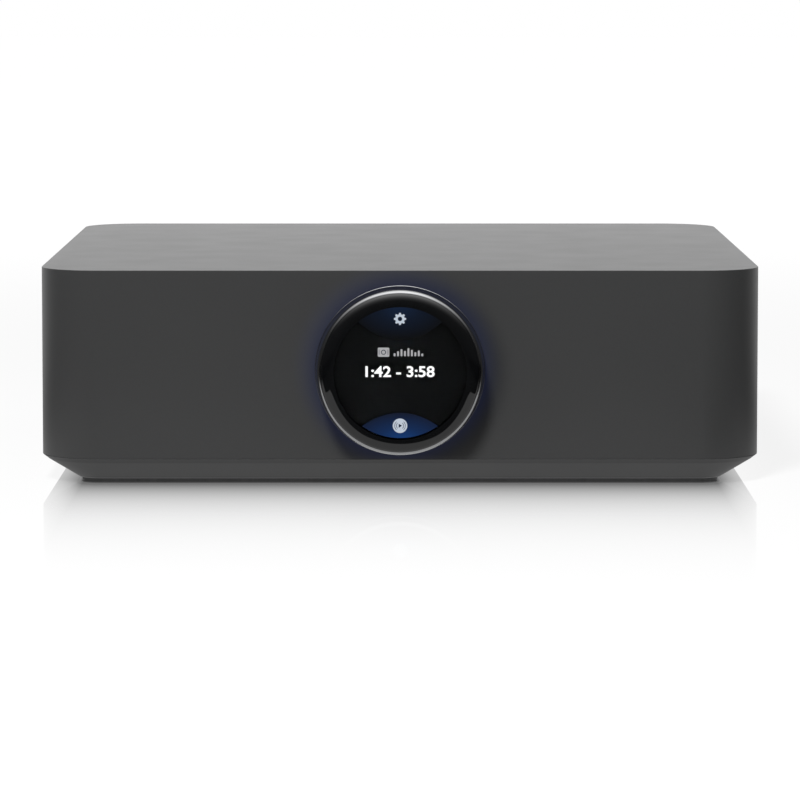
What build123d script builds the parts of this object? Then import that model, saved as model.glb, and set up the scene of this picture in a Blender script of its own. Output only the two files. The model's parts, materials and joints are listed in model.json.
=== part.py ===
"""Streaming amplifier: a low square case on a bevelled tray, with a round display in a turning volume ring.

Millimetres. X runs across, Y from front to back, Z up. The origin is on the table, under the case.
"""

import os

from build123d import *

os.makedirs("parts", exist_ok=True)

# Case and tray
case_width = 215.0
case_depth = 215.0
case_height = 64.0
corner_radius = 18.0
case_wall = 3.0
top_edge_chamfer = 0.5
skirt_height = 8.0
seam_gap = 0.2
band_drop = 1.3
band_inset = 0.6
bevel_inset = 11.0
bevel_land = 0.1
tray_underside = 1.6
tray_floor = 2.5
tray_wall = 6.0
tongue_wall = 2.0
tongue_rise = 3.7
tongue_gap = 0.3
column_inset = 17.0
column_side = 8.0
column_foot = 12.0
column_web = 2.5
pillar_side = 10.0
foot_setback = 0.8
foot_width = 8.0
foot_inner_radius = 3.0
foot_seat = 0.8
foot_fit = 0.1
vent_width = 3.0
vent_length = 44.0
vent_pitch = 8.0
vent_count = 5

# Dial. A reach is measured forward from the front face of the case, so what lies inside has a negative one
dial_height = 0.5375 * case_height
dial_radius = 0.4 * case_height
lip_gap = 0.7
lip_cover = 0.6
rim_step = 0.7
rim_chamfer = 0.5
rim_wall = 0.85
ring_reach = 9.2
ring_tail = 6.0
halo_fit = 0.1
halo_wall = 0.9
halo_gap = 0.3
tongue_notch = 54.0
halo_stand = 0.4
sleeve_wall = 1.2
running_clearance = 0.05
glide_wall = 0.85
glide_fit = 0.05
axial_gap = 0.3
hub_wall = 1.05
hub_flange = 1.2
hub_tail = 10.0
hub_cable_radius = 7.0
display_fit = 0.1
display_thickness = 3.2
display_air_gap = 0.2
glass_gap = 0.25
glass_reach = 10.4
glass_edge = 0.8
glass_thickness = 3.0
glass_flat_edge = 3.6
glass_shoulder = 1.2
glass_shoulder_reach = 9.7
wheel_lip = 0.4
wheel_thickness = 1.6
wheel_notches = 16
wheel_notch_depth = 1.6
wheel_notch_width = 2.4
bracket_thickness = 2.5
bracket_width = 84.0
bracket_margin = 6.0
bracket_boss_x = 36.0
bracket_boss_z = 0.625 * dial_radius
bracket_boss_side = 7.0
bracket_cable_radius = 9.0
encoder_board_width = 15.0
encoder_board_height = 12.0
encoder_board_thickness = 1.0
encoder_board_reach = 0.8
sensor_width = 6.0
sensor_height = 8.0
sensor_front_arm = 1.0
sensor_slot_side = 0.6
sensor_roof = 0.6
ribbon_width = 10.0
ribbon_thickness = 0.3
ribbon_bend = 4.0
ribbon_drop = 6.0

# Rear panel and the pocket it sits in
pocket_bottom = 14.5
pocket_top_margin = 6.5
pocket_width = 172.0
pocket_radius = 4.0
panel_fit = 0.2
panel_recess = 3.0
panel_thickness = 2.0
ledge_thickness = 4.0
ledge_margin = 2.0
throat_width = 158.0
throat_margin = 3.5
cutout_clearance = 0.2
grille_x = -20.0
grille_rise = 11.0
grille_slot_width = 2.2
grille_slot_tall = 11.0
grille_pitch = 4.4
grille_count = 8

# Speaker posts. A stand is measured back from the outer face of the rear panel
post_x = (66.0, 47.0)
post_rise = 9.5
post_radius = 3.0
post_stand = 13.4
post_tail = 14.0
banana_radius = 2.0
banana_depth = 18.0
wire_slot = 2.5
wire_slot_stand = 4.2
plate_width = 17.0
plate_tall = 36.0
plate_corner = 3.0
plate_thickness = 2.2
plate_boss_width = 12.0
plate_boss_tall = 31.0
post_fit = 0.05
lock_nut_across = 10.0
lock_nut_thickness = 3.0
cap_radius = 7.3
cap_seat_gap = 0.2
cap_length = 10.2
cap_lip = 0.6
cap_mouth_radius = 3.3
cap_ribs = 12
cap_groove_width = 1.6
cap_groove_depth = 0.8
bush_radius = 4.6
bush_length = 5.4

# Phono sockets
phono_x = (28.0, 28.0, 12.0)
phono_rise = 9.0
phono_radius = 4.15
phono_wall = 0.8
phono_stand = 9.0
phono_hole_gap = 0.8
phono_insert_drop = 0.8
phono_contact_radius = 1.6
phono_block_half = 6.8
phono_block_depth = 12.0

# Optical socket and its flap
optical_x = 12.0
optical_z = 26.4
optical_body_width = 13.0
optical_depth = 14.0
optical_nose = 10.6
optical_cavity = 8.8
optical_stand = 0.8
optical_back_wall = 1.5
flap_thickness = 0.8
flap_gap = 0.25
flap_setback = 0.5

# Digital link socket
link_x = -25.0
link_z = 23.2
link_width = 14.2
link_tall = 4.8
link_wall = 0.5
link_depth = 11.0
link_stand = 0.6
link_tongue_width = 11.4
link_tongue_thickness = 1.2
link_tongue_length = 8.0
link_block = 2.0

# Network socket
network_x = -7.0
network_width = 16.0
network_tall = 13.4
network_depth = 16.0
network_stand = 0.3
network_cavity_width = 11.8
network_cavity_tall = 6.8
network_cavity_depth = 13.0
network_notch_width = 6.2
network_notch_tall = 3.0
network_floor = 2.0
contact_count = 8
contact_pitch = 1.02
contact_width = 0.4
contact_thickness = 0.3
contact_dip = 1.6

# Reset button
reset_x = -39.0
reset_z = 24.0
reset_radius = 1.5
reset_hole_radius = 1.75
reset_stand = 0.6
reset_travel = 0.5
reset_flange_radius = 2.2
reset_flange = 0.7
reset_gap = 0.1
switch_gap = 0.1
reset_switch_width = 6.0
reset_switch_depth = 6.0

# Mains inlet
mains_x = -60.0
mains_flange_width = 31.0
mains_flange_tall = 24.0
mains_flange = 1.8
mains_body_width = 27.4
mains_body_tall = 19.6
mains_body_depth = 18.0
mains_cavity_width = 24.4
mains_cavity_tall = 16.6
mains_cavity_corner = 3.8
mains_cavity_depth = 15.5
mains_pin_spacing = 7.0
mains_pin_offset = 2.0
mains_pin_thickness = 2.0
mains_pin_tall = 4.0
mains_pin_sink = 2.6
mains_pin_tail = 6.0
pin_fit = 0.05

# Boards and what stands on them
board_thickness = 1.6
low_board_height = 9.1
main_board_height = 18.4
board_post_inset = 4.0
board_post_side = 6.0
side_board_y = 7.5
side_board_margin = 10.5
side_board_gap = 9.0
side_board_ends = 40.0
main_board_left = -43.0
main_board_right = 38.0
main_board_depth = 59.5
main_board_gap = 1.0
main_board_post_inset = 11.5
core_width = 42.0
core_depth = 20.0
core_height = 34.0
core_window = 24.0
core_foot = 8.0
coil_clearance = 0.3
coil_overhang = 6.0
transformer_y = 24.0
capacitor_radius = 9.0
capacitor_height = 38.0
capacitor_y = (-8.0, -30.0)
capacitor_spread = 11.0
sink_width = 44.0
sink_depth = 46.0
sink_base = 5.0
sink_height = 34.0
sink_fin = 1.6
sink_fins = 9
sink_y = -22.0
inductor_side = 15.0
inductor_height = 14.0
inductor_chamfer = 2.0
inductor_pitch = 19.0
inductor_y = (32.0, 52.0)
chip_sides = (24.0, 16.0, 12.0)
chip_x = (-20.0, 14.0, 20.0)
chip_set_back = (28.0, 30.0, 10.0)
chip_height = 2.4
antenna_set_back = 39.5
antenna_width = 12.0
antenna_tall = 36.0
antenna_thickness = 1.0
antenna_bottom = 16.0

# Places worked out from the sizes
front_y = -case_depth / 2
rear_y = case_depth / 2
ceiling = case_height - case_wall
tray_top = skirt_height - seam_gap
floor_top = tray_underside + tray_floor
groove_floor = tray_underside + foot_seat
column_x = case_width / 2 - column_inset
column_y = case_depth / 2 - column_inset
column_spots = [(right * column_x, back * column_y) for right in (1, -1) for back in (1, -1)]
panel_y = rear_y - panel_recess
panel_back_y = panel_y - panel_thickness
ledge_y = panel_back_y - ledge_thickness
pocket_tall = case_height - pocket_top_margin - pocket_bottom
throat_tall = pocket_tall - 2 * throat_margin
panel_centre_height = pocket_bottom + pocket_tall / 2
post_z = (panel_centre_height + post_rise, panel_centre_height - post_rise)
phono_z = [panel_centre_height + rise for rise in (phono_rise, -phono_rise, phono_rise)]
grille_z = panel_centre_height + grille_rise
mains_z = panel_centre_height
main_board_back = panel_back_y - main_board_gap
main_board_front = main_board_back - main_board_depth
main_board_post_back = main_board_back - main_board_post_inset
side_board_width = case_width / 2 - side_board_margin - main_board_right - side_board_gap
side_board_x = case_width / 2 - side_board_margin - side_board_width / 2
side_board_depth = case_depth - 2 * side_board_ends
main_board_top = main_board_height + board_thickness
low_board_top = low_board_height + board_thickness

case_hole_radius = dial_radius - lip_cover
halo_radius = case_hole_radius - halo_fit
halo_bore = halo_radius - halo_wall
sleeve_radius = halo_bore - halo_gap
sleeve_bore = sleeve_radius - sleeve_wall
glide_radius = sleeve_bore - running_clearance
glide_bore = glide_radius - glide_wall
hub_radius = glide_bore - glide_fit
display_bore = hub_radius - hub_wall
display_radius = display_bore - display_fit
rim_radius = dial_radius - rim_step
rim_bore = rim_radius - rim_wall
glass_radius = rim_bore - glass_gap
glass_flat_radius = glass_radius - glass_flat_edge
glass_shoulder_radius = glass_radius - glass_shoulder
glass_seat = glass_reach - glass_thickness
display_reach = glass_seat - display_air_gap
display_seat = display_reach - display_thickness
flange_back = glass_seat - hub_flange
ring_step = flange_back - axial_gap
wheel_radius = dial_radius + wheel_lip
wheel_back = ring_tail + wheel_thickness
bracket_height = 2 * (bracket_boss_z + bracket_margin)
sensor_start = sleeve_radius
encoder_board_start = sensor_start - encoder_board_reach
bracket_back = hub_tail + bracket_thickness
bracket_boss_spots = [(right * bracket_boss_x, up * bracket_boss_z) for right in (1, -1) for up in (1, -1)]

cap_start = plate_thickness + cap_seat_gap
cap_end = cap_start + cap_length
bush_end = cap_end - cap_lip - post_fit
cap_bore = bush_radius + post_fit
post_spots = [(x, z) for x in post_x for z in post_z]
post_middle = sum(post_z) / len(post_z)
phono_spots = list(zip(phono_x, phono_z))
network_z = main_board_top + network_tall / 2
bevel_drop = tray_top - band_drop - tray_underside
bottom_width = case_width - 2 * bevel_inset
bottom_depth = case_depth - 2 * bevel_inset
bottom_radius = corner_radius - bevel_inset


def ahead(reach):
    """Depth of a point this far in front of the case's front face."""
    return front_y - reach


def behind(stand):
    """Depth of a point this far behind the rear panel's outer face."""
    return panel_y + stand


def upright(y):
    """A plane across the case at this depth: sketch y is height, and an extrusion runs forward."""
    return Plane.XZ.offset(-y)


def spin(points, x, z):
    """Revolve an outline of (radius, depth) points about the front-to-back line through x and z."""
    with BuildSketch(Plane((x, 0, z), x_dir=(1, 0, 0), z_dir=(0, 0, 1))) as outline:
        with BuildLine():
            Polyline(*points, close=True)
        make_face()
    revolve(outline.sketch, axis=Axis((x, 0, z), (0, 1, 0)))


def spin_tube(bore, radius, start, end, x, z):
    spin([(bore, start), (radius, start), (radius, end), (bore, end)], x, z)


def keep(piece, name):
    piece.part.label = name
    export_step(piece.part, f"parts/{name}.step")


# Upper case: one casting with columns, dial bosses and the frame of the rear panel
with BuildPart() as upper_case:
    with BuildSketch(Plane.XY.offset(skirt_height)):
        RectangleRounded(case_width, case_depth, corner_radius)
    extrude(amount=case_height - skirt_height)
    chamfer(upper_case.faces().sort_by(Axis.Z)[-1].edges(), length=top_edge_chamfer)
    with BuildSketch(Plane.XY.offset(skirt_height)):
        RectangleRounded(case_width - 2 * case_wall, case_depth - 2 * case_wall, corner_radius - case_wall)
    extrude(amount=ceiling - skirt_height, mode=Mode.SUBTRACT)
    web_run = column_inset - case_wall / 2
    with BuildSketch(Plane.XY.offset(column_foot)):
        with Locations(*column_spots):
            Rectangle(column_side, column_side)
        for x, y in column_spots:
            with Locations((x + (web_run / 2 if x > 0 else -web_run / 2), y)):
                Rectangle(web_run, column_web)
            with Locations((x, y + (web_run / 2 if y > 0 else -web_run / 2))):
                Rectangle(column_web, web_run)
    extrude(amount=ceiling - column_foot)
    with BuildSketch(upright(ahead(-hub_tail))):
        with Locations((0, dial_height)):
            with Locations(*bracket_boss_spots):
                Rectangle(bracket_boss_side, bracket_boss_side)
    extrude(amount=hub_tail - case_wall / 2)
    with BuildSketch(upright(ahead(-case_wall))):
        with Locations((0, dial_height)):
            Circle(case_hole_radius)
    extrude(amount=case_wall, mode=Mode.SUBTRACT)
    with BuildSketch(upright(rear_y - case_wall / 2)):
        with Locations((0, panel_centre_height)):
            Rectangle(pocket_width + 2 * ledge_margin, pocket_tall + 2 * ledge_margin)
    extrude(amount=rear_y - case_wall / 2 - ledge_y)
    with BuildSketch(upright(rear_y)):
        with Locations((0, panel_centre_height)):
            RectangleRounded(pocket_width, pocket_tall, pocket_radius)
    extrude(amount=panel_recess + panel_thickness, mode=Mode.SUBTRACT)
    with BuildSketch(upright(rear_y)):
        with Locations((0, panel_centre_height)):
            Rectangle(throat_width, throat_tall)
    extrude(amount=rear_y - ledge_y, mode=Mode.SUBTRACT)
keep(upper_case, "upper_case")

# Base tray: the bevel under the case, a tongue that centres the case, pillars, board posts and vents
side_board_spots = [(side * side_board_x + across * (side_board_width / 2 - board_post_inset),
                     side_board_y + along * (side_board_depth / 2 - board_post_inset))
                    for side in (1, -1) for across in (1, -1) for along in (1, -1)]
main_board_spots = [(x, y) for x in (main_board_left + board_post_inset, main_board_right - board_post_inset)
                    for y in (main_board_front + board_post_inset, main_board_post_back)]
inner_width = case_width - 2 * case_wall - 2 * tongue_gap
inner_depth = case_depth - 2 * case_wall - 2 * tongue_gap
inner_radius = corner_radius - case_wall - tongue_gap
well = tongue_wall + tray_wall
foot_width_out = bottom_width - 2 * foot_setback
foot_depth_out = bottom_depth - 2 * foot_setback
foot_radius = bottom_radius - foot_setback
foot_width_in = foot_width_out - 2 * foot_width
foot_depth_in = foot_depth_out - 2 * foot_width
with BuildPart() as base_tray:
    with BuildSketch(Plane.XY.offset(tray_underside)):
        RectangleRounded(case_width - 2 * band_inset, case_depth - 2 * band_inset, corner_radius - band_inset)
    extrude(amount=bevel_drop)
    chamfer(base_tray.faces().sort_by(Axis.Z)[0].edges(), length=bevel_inset - band_inset,
            length2=bevel_drop - bevel_land, reference=base_tray.faces().sort_by(Axis.Z)[0])
    with BuildSketch(Plane.XY.offset(tray_top - band_drop)):
        RectangleRounded(case_width - 2 * band_inset, case_depth - 2 * band_inset, corner_radius - band_inset)
    with BuildSketch(Plane.XY.offset(tray_top)):
        RectangleRounded(case_width, case_depth, corner_radius)
    loft(ruled=True)
    with BuildSketch(Plane.XY.offset(tray_top)):
        RectangleRounded(inner_width, inner_depth, inner_radius)
        RectangleRounded(inner_width - 2 * tongue_wall, inner_depth - 2 * tongue_wall,
                         inner_radius - tongue_wall, mode=Mode.SUBTRACT)
        with Locations((0, front_y + case_wall + tongue_gap + tongue_wall / 2)):
            Rectangle(tongue_notch, 2 * tongue_wall, mode=Mode.SUBTRACT)
    extrude(amount=tongue_rise)
    with BuildSketch(Plane.XY.offset(floor_top)):
        RectangleRounded(inner_width - 2 * well, inner_depth - 2 * well, inner_radius - well)
    extrude(amount=tray_top - floor_top, mode=Mode.SUBTRACT)
    for spots, side, top in ((column_spots, pillar_side, column_foot),
                             (side_board_spots, board_post_side, low_board_height),
                             (main_board_spots, board_post_side, main_board_height)):
        with BuildSketch(Plane.XY.offset(floor_top)):
            with Locations(*spots):
                Rectangle(side, side)
        extrude(amount=top - floor_top)
    with BuildSketch(Plane.XY.offset(tray_underside)):
        RectangleRounded(foot_width_out + 2 * foot_fit, foot_depth_out + 2 * foot_fit, foot_radius + foot_fit)
        RectangleRounded(foot_width_in - 2 * foot_fit, foot_depth_in - 2 * foot_fit, foot_inner_radius,
                         mode=Mode.SUBTRACT)
    extrude(amount=foot_seat, mode=Mode.SUBTRACT)
    with BuildSketch(Plane.XY.offset(tray_underside)):
        for side in (1, -1):
            with Locations((side * side_board_x, side_board_y)):
                with GridLocations(vent_pitch, 0, vent_count, 1):
                    Rectangle(vent_width, vent_length)
    extrude(amount=tray_floor, mode=Mode.SUBTRACT)
keep(base_tray, "base_tray")

with BuildPart() as foot_ring:
    with BuildSketch(Plane.XY):
        RectangleRounded(foot_width_out, foot_depth_out, foot_radius)
        RectangleRounded(foot_width_in, foot_depth_in, foot_inner_radius + foot_fit, mode=Mode.SUBTRACT)
    extrude(amount=groove_floor)
keep(foot_ring, "foot_ring")

# Dial: the ring that turns, from its tail inside the case to its bright front edge
with BuildPart() as volume_ring:
    spin([(sleeve_bore, ahead(-ring_tail)), (sleeve_radius, ahead(-ring_tail)),
          (sleeve_radius, ahead(lip_gap)), (dial_radius, ahead(lip_gap)),
          (rim_radius, ahead(ring_reach - rim_chamfer)), (rim_radius - rim_chamfer, ahead(ring_reach)),
          (rim_bore, ahead(ring_reach)), (rim_bore, ahead(ring_step)), (sleeve_bore, ahead(ring_step))],
         0, dial_height)
keep(volume_ring, "volume_ring")

with BuildPart() as cover_glass:
    edge_reach = glass_seat + glass_edge
    spin([(0, ahead(glass_seat)), (glass_radius, ahead(glass_seat)), (glass_radius, ahead(edge_reach)),
          (glass_shoulder_radius, ahead(glass_shoulder_reach)), (glass_flat_radius, ahead(glass_reach)),
          (0, ahead(glass_reach))], 0, dial_height)
keep(cover_glass, "cover_glass")

with BuildPart() as display_panel:
    spin_tube(0, display_radius, ahead(display_seat), ahead(display_reach), 0, dial_height)
keep(display_panel, "display_panel")

with BuildPart() as display_hub:
    spin([(hub_cable_radius, ahead(-hub_tail)), (hub_radius, ahead(-hub_tail)),
          (hub_radius, ahead(flange_back)), (glass_radius, ahead(flange_back)),
          (glass_radius, ahead(glass_seat)), (display_bore, ahead(glass_seat)),
          (display_bore, ahead(display_seat)), (hub_cable_radius, ahead(display_seat))], 0, dial_height)
keep(display_hub, "display_hub")

with BuildPart() as glide_ring:
    spin_tube(glide_bore, glide_radius, ahead(-ring_tail), ahead(ring_step), 0, dial_height)
keep(glide_ring, "glide_ring")

with BuildPart() as encoder_wheel:
    spin_tube(sleeve_bore, wheel_radius, ahead(-wheel_back), ahead(-ring_tail), 0, dial_height)
    with BuildSketch(upright(ahead(-wheel_back))):
        with Locations((0, dial_height)):
            with PolarLocations(wheel_radius, wheel_notches):
                Rectangle(2 * wheel_notch_depth, wheel_notch_width)
    extrude(amount=wheel_thickness, mode=Mode.SUBTRACT)
keep(encoder_wheel, "encoder_wheel")

with BuildPart() as halo_ring:
    spin_tube(halo_bore, halo_radius, ahead(-case_wall), ahead(halo_stand), 0, dial_height)
keep(halo_ring, "halo_ring")

with BuildPart() as knob_bracket:
    with BuildSketch(upright(ahead(-bracket_back))):
        with Locations((0, dial_height)):
            Rectangle(bracket_width, bracket_height)
            Circle(bracket_cable_radius, mode=Mode.SUBTRACT)
    extrude(amount=bracket_thickness)
keep(knob_bracket, "knob_bracket")

# Encoder: a fork sensor on a small board reads the notched wheel
board_middle = encoder_board_start + encoder_board_width / 2
board_front = hub_tail - encoder_board_thickness
with BuildPart() as encoder_board:
    with BuildSketch(upright(ahead(-hub_tail))):
        with Locations((board_middle, dial_height)):
            Rectangle(encoder_board_width, encoder_board_height)
    extrude(amount=encoder_board_thickness)
keep(encoder_board, "encoder_board")

fork_front = ring_tail - sensor_slot_side
fork_back = wheel_back + sensor_slot_side
with BuildPart() as encoder_sensor:
    with BuildSketch(upright(ahead(-board_front))):
        with Locations((sensor_start + sensor_width / 2, dial_height)):
            Rectangle(sensor_width, sensor_height)
    extrude(amount=board_front - fork_front + sensor_front_arm)
    with BuildSketch(upright(ahead(-fork_back))):
        with Locations((sensor_start + (wheel_radius + sensor_roof - sensor_start) / 2, dial_height)):
            Rectangle(wheel_radius + sensor_roof - sensor_start, sensor_height)
    extrude(amount=fork_back - fork_front, mode=Mode.SUBTRACT)
keep(encoder_sensor, "encoder_sensor")

# Ribbon: straight back from the display through the hub, then down to the main board
with BuildPart() as display_ribbon:
    with BuildSketch(Plane.YZ.offset(-ribbon_width / 2)):
        with BuildLine():
            FilletPolyline((ahead(display_seat), dial_height), (main_board_front + ribbon_drop, dial_height),
                           (main_board_front + ribbon_drop, main_board_top), radius=ribbon_bend)
        trace(line_width=ribbon_thickness)
    extrude(amount=ribbon_width)
keep(display_ribbon, "display_ribbon")

# Rear panel: a plate on the case's ledge, with vents and a cut-out for each socket
with BuildPart() as rear_panel:
    with BuildSketch(upright(panel_y)):
        with Locations((0, panel_centre_height)):
            RectangleRounded(pocket_width - 2 * panel_fit, pocket_tall - 2 * panel_fit,
                             pocket_radius - panel_fit)
        with Locations((grille_x, grille_z)):
            with GridLocations(grille_pitch, 0, grille_count, 1):
                Rectangle(grille_slot_width, grille_slot_tall, mode=Mode.SUBTRACT)
        for x, z, width, tall in ((post_x[0], post_middle, plate_boss_width, plate_boss_tall),
                                  (post_x[1], post_middle, plate_boss_width, plate_boss_tall),
                                  (optical_x, optical_z, optical_nose, optical_nose),
                                  (link_x, link_z, link_width + 2 * link_wall, link_tall + 2 * link_wall),
                                  (network_x, network_z, network_width, network_tall),
                                  (mains_x, mains_z, mains_body_width, mains_body_tall)):
            with Locations((x, z)):
                Rectangle(width + 2 * cutout_clearance, tall + 2 * cutout_clearance, mode=Mode.SUBTRACT)
        with Locations(*phono_spots):
            Circle(phono_radius + phono_hole_gap, mode=Mode.SUBTRACT)
        with Locations((reset_x, reset_z)):
            Circle(reset_hole_radius, mode=Mode.SUBTRACT)
    extrude(amount=panel_thickness)
keep(rear_panel, "rear_panel")

# Speaker posts: drilled studs on an insulating plate for each pair, with a ribbed cap that clamps the wire
with BuildPart() as post_studs:
    banana_floor = post_stand - banana_depth
    for x, z in post_spots:
        spin([(0, behind(-post_tail)), (post_radius, behind(-post_tail)), (post_radius, behind(post_stand)),
              (banana_radius, behind(post_stand)), (banana_radius, behind(banana_floor)),
              (0, behind(banana_floor))], x, z)
    with BuildSketch(Plane.XY.offset(min(post_z) - 2 * post_radius)):
        with Locations(*[(x, behind(wire_slot_stand)) for x in post_x]):
            Rectangle(wire_slot, wire_slot)
    extrude(amount=max(post_z) - min(post_z) + 4 * post_radius, mode=Mode.SUBTRACT)
keep(post_studs, "post_studs")

with BuildPart() as post_plates:
    for x in post_x:
        with BuildSketch(upright(behind(plate_thickness))) as plate:
            with Locations((x, post_middle)):
                Rectangle(plate_width, plate_tall)
            chamfer(plate.vertices(), length=plate_corner)
        extrude(amount=plate_thickness)
        with BuildSketch(upright(panel_y)):
            with Locations((x, post_middle)):
                Rectangle(plate_boss_width, plate_boss_tall)
        extrude(amount=panel_thickness)
    with BuildSketch(upright(behind(plate_thickness))):
        with Locations(*post_spots):
            Circle(post_radius + post_fit)
    extrude(amount=plate_thickness + panel_thickness, mode=Mode.SUBTRACT)
keep(post_plates, "post_plates")

with BuildPart() as post_nuts:
    with BuildSketch(upright(panel_back_y)):
        with Locations(*post_spots):
            RegularPolygon(lock_nut_across / 2, 6, major_radius=False)
            Circle(post_radius + post_fit, mode=Mode.SUBTRACT)
    extrude(amount=lock_nut_thickness)
keep(post_nuts, "post_nuts")

for number, (x, z) in enumerate(post_spots, start=1):
    with BuildPart() as post_bush:
        spin_tube(post_radius + post_fit, bush_radius, behind(bush_end - bush_length), behind(bush_end), x, z)
    keep(post_bush, f"post_bush_{number}")

    with BuildPart() as post_cap:
        with BuildSketch(upright(behind(cap_end))):
            with Locations((x, z)):
                RegularPolygon(cap_radius, 2 * cap_ribs)
                with PolarLocations(cap_radius, cap_ribs):
                    Rectangle(2 * cap_groove_depth, cap_groove_width, mode=Mode.SUBTRACT)
        extrude(amount=cap_length)
        with BuildSketch(upright(behind(cap_end - cap_lip))):
            with Locations((x, z)):
                Circle(cap_bore)
        extrude(amount=cap_length - cap_lip, mode=Mode.SUBTRACT)
        with BuildSketch(upright(behind(cap_end))):
            with Locations((x, z)):
                Circle(cap_mouth_radius)
        extrude(amount=cap_lip, mode=Mode.SUBTRACT)
    keep(post_cap, f"post_cap_{number}")

# Phono sockets: three plated sleeves with coloured inserts on one moulded block
with BuildPart() as phono_block:
    block_top = max(phono_z) + phono_block_half
    with BuildSketch(upright(panel_back_y)):
        with Locations((phono_x[0], (main_board_top + block_top) / 2)):
            Rectangle(2 * phono_block_half, block_top - main_board_top)
        with Locations(((phono_x[0] + phono_x[2]) / 2, phono_z[2])):
            Rectangle(phono_x[0] - phono_x[2] + 2 * phono_block_half, 2 * phono_block_half)
    extrude(amount=phono_block_depth)
keep(phono_block, "phono_block")

with BuildPart() as phono_sleeves:
    for x, z in phono_spots:
        spin_tube(phono_radius - phono_wall, phono_radius, panel_back_y, behind(phono_stand), x, z)
keep(phono_sleeves, "phono_sleeves")

with BuildPart() as phono_inserts:
    for x, z in phono_spots:
        spin_tube(phono_contact_radius, phono_radius - phono_wall - pin_fit, panel_back_y,
                  behind(phono_stand - phono_insert_drop), x, z)
keep(phono_inserts, "phono_inserts")

# Optical socket: a square nose through the panel, closed by a flap that the plug pushes in
optical_bottom = main_board_top
optical_top = optical_z + optical_nose / 2
with BuildPart() as optical_socket:
    with BuildSketch(upright(panel_back_y)):
        with Locations((optical_x, (optical_bottom + optical_top) / 2)):
            Rectangle(optical_body_width, optical_top - optical_bottom)
    extrude(amount=optical_depth)
    with BuildSketch(upright(behind(optical_stand))):
        with Locations((optical_x, optical_z)):
            Rectangle(optical_nose, optical_nose)
    extrude(amount=optical_stand + panel_thickness)
    with BuildSketch(upright(behind(optical_stand))):
        with Locations((optical_x, optical_z)):
            Rectangle(optical_cavity, optical_cavity)
    extrude(amount=optical_stand + panel_thickness + optical_depth - optical_back_wall, mode=Mode.SUBTRACT)
keep(optical_socket, "optical_socket")

with BuildPart() as optical_flap:
    with BuildSketch(upright(behind(optical_stand - flap_setback))):
        with Locations((optical_x, optical_z)):
            Rectangle(optical_cavity - 2 * flap_gap, optical_cavity - 2 * flap_gap)
    extrude(amount=flap_thickness)
keep(optical_flap, "optical_flap")

# Digital link socket: a folded shell around a contact tongue
with BuildPart() as link_shell:
    with BuildSketch(upright(behind(link_stand))):
        with Locations((link_x, link_z)):
            Rectangle(link_width + 2 * link_wall, link_tall + 2 * link_wall)
            Rectangle(link_width, link_tall, mode=Mode.SUBTRACT)
    extrude(amount=link_stand + link_depth)
keep(link_shell, "link_shell")

with BuildPart() as link_tongue:
    with BuildSketch(upright(behind(link_block - link_depth))):
        with Locations((link_x, link_z)):
            Rectangle(link_width - 2 * pin_fit, link_tall - 2 * pin_fit)
    extrude(amount=link_block)
    with BuildSketch(upright(behind(link_block - link_depth))):
        with Locations((link_x, link_z)):
            Rectangle(link_tongue_width, link_tongue_thickness)
    extrude(amount=-link_tongue_length)
keep(link_tongue, "link_tongue")

# Network socket: a housing with a stepped mouth and eight sprung contacts
network_mouth_top = network_z + network_tall / 2 - network_floor
network_mouth_middle = network_mouth_top - network_cavity_tall / 2
with BuildPart() as network_socket:
    with BuildSketch(upright(behind(network_stand))):
        with Locations((network_x, network_z)):
            Rectangle(network_width, network_tall)
    extrude(amount=network_depth)
    with BuildSketch(upright(behind(network_stand))):
        with Locations((network_x, network_mouth_middle)):
            Rectangle(network_cavity_width, network_cavity_tall)
        with Locations((network_x, network_mouth_middle - (network_cavity_tall + network_notch_tall) / 2)):
            Rectangle(network_notch_width, network_notch_tall)
    extrude(amount=network_cavity_depth, mode=Mode.SUBTRACT)
keep(network_socket, "network_socket")

with BuildPart() as network_contacts:
    contact_back = behind(network_stand - network_cavity_depth)
    contact_front = contact_back + network_cavity_depth / 2
    for step in range(contact_count):
        contact_x = network_x + contact_pitch * (step - (contact_count - 1) / 2) - contact_width / 2
        with BuildSketch(Plane.YZ.offset(contact_x)):
            with BuildLine():
                Polyline((contact_back, network_mouth_top - contact_dip),
                         (contact_back, network_mouth_top - contact_dip - contact_thickness),
                         (contact_front, network_mouth_top - contact_thickness),
                         (contact_front, network_mouth_top), close=True)
            make_face()
        extrude(amount=contact_width)
keep(network_contacts, "network_contacts")

# Reset button: a flanged plunger in front of its switch
with BuildPart() as reset_button:
    flange_y = panel_back_y - reset_gap
    spin([(0, flange_y - reset_flange), (reset_flange_radius, flange_y - reset_flange),
          (reset_flange_radius, flange_y), (reset_radius, flange_y), (reset_radius, behind(reset_stand)),
          (0, behind(reset_stand))], reset_x, reset_z)
keep(reset_button, "reset_button")

with BuildPart() as reset_switch:
    with BuildSketch(upright(flange_y - reset_flange - reset_travel - switch_gap)):
        with Locations((reset_x, (main_board_top + reset_z + reset_switch_width / 2) / 2)):
            Rectangle(reset_switch_width, reset_z + reset_switch_width / 2 - main_board_top)
    extrude(amount=reset_switch_depth)
keep(reset_switch, "reset_switch")

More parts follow.
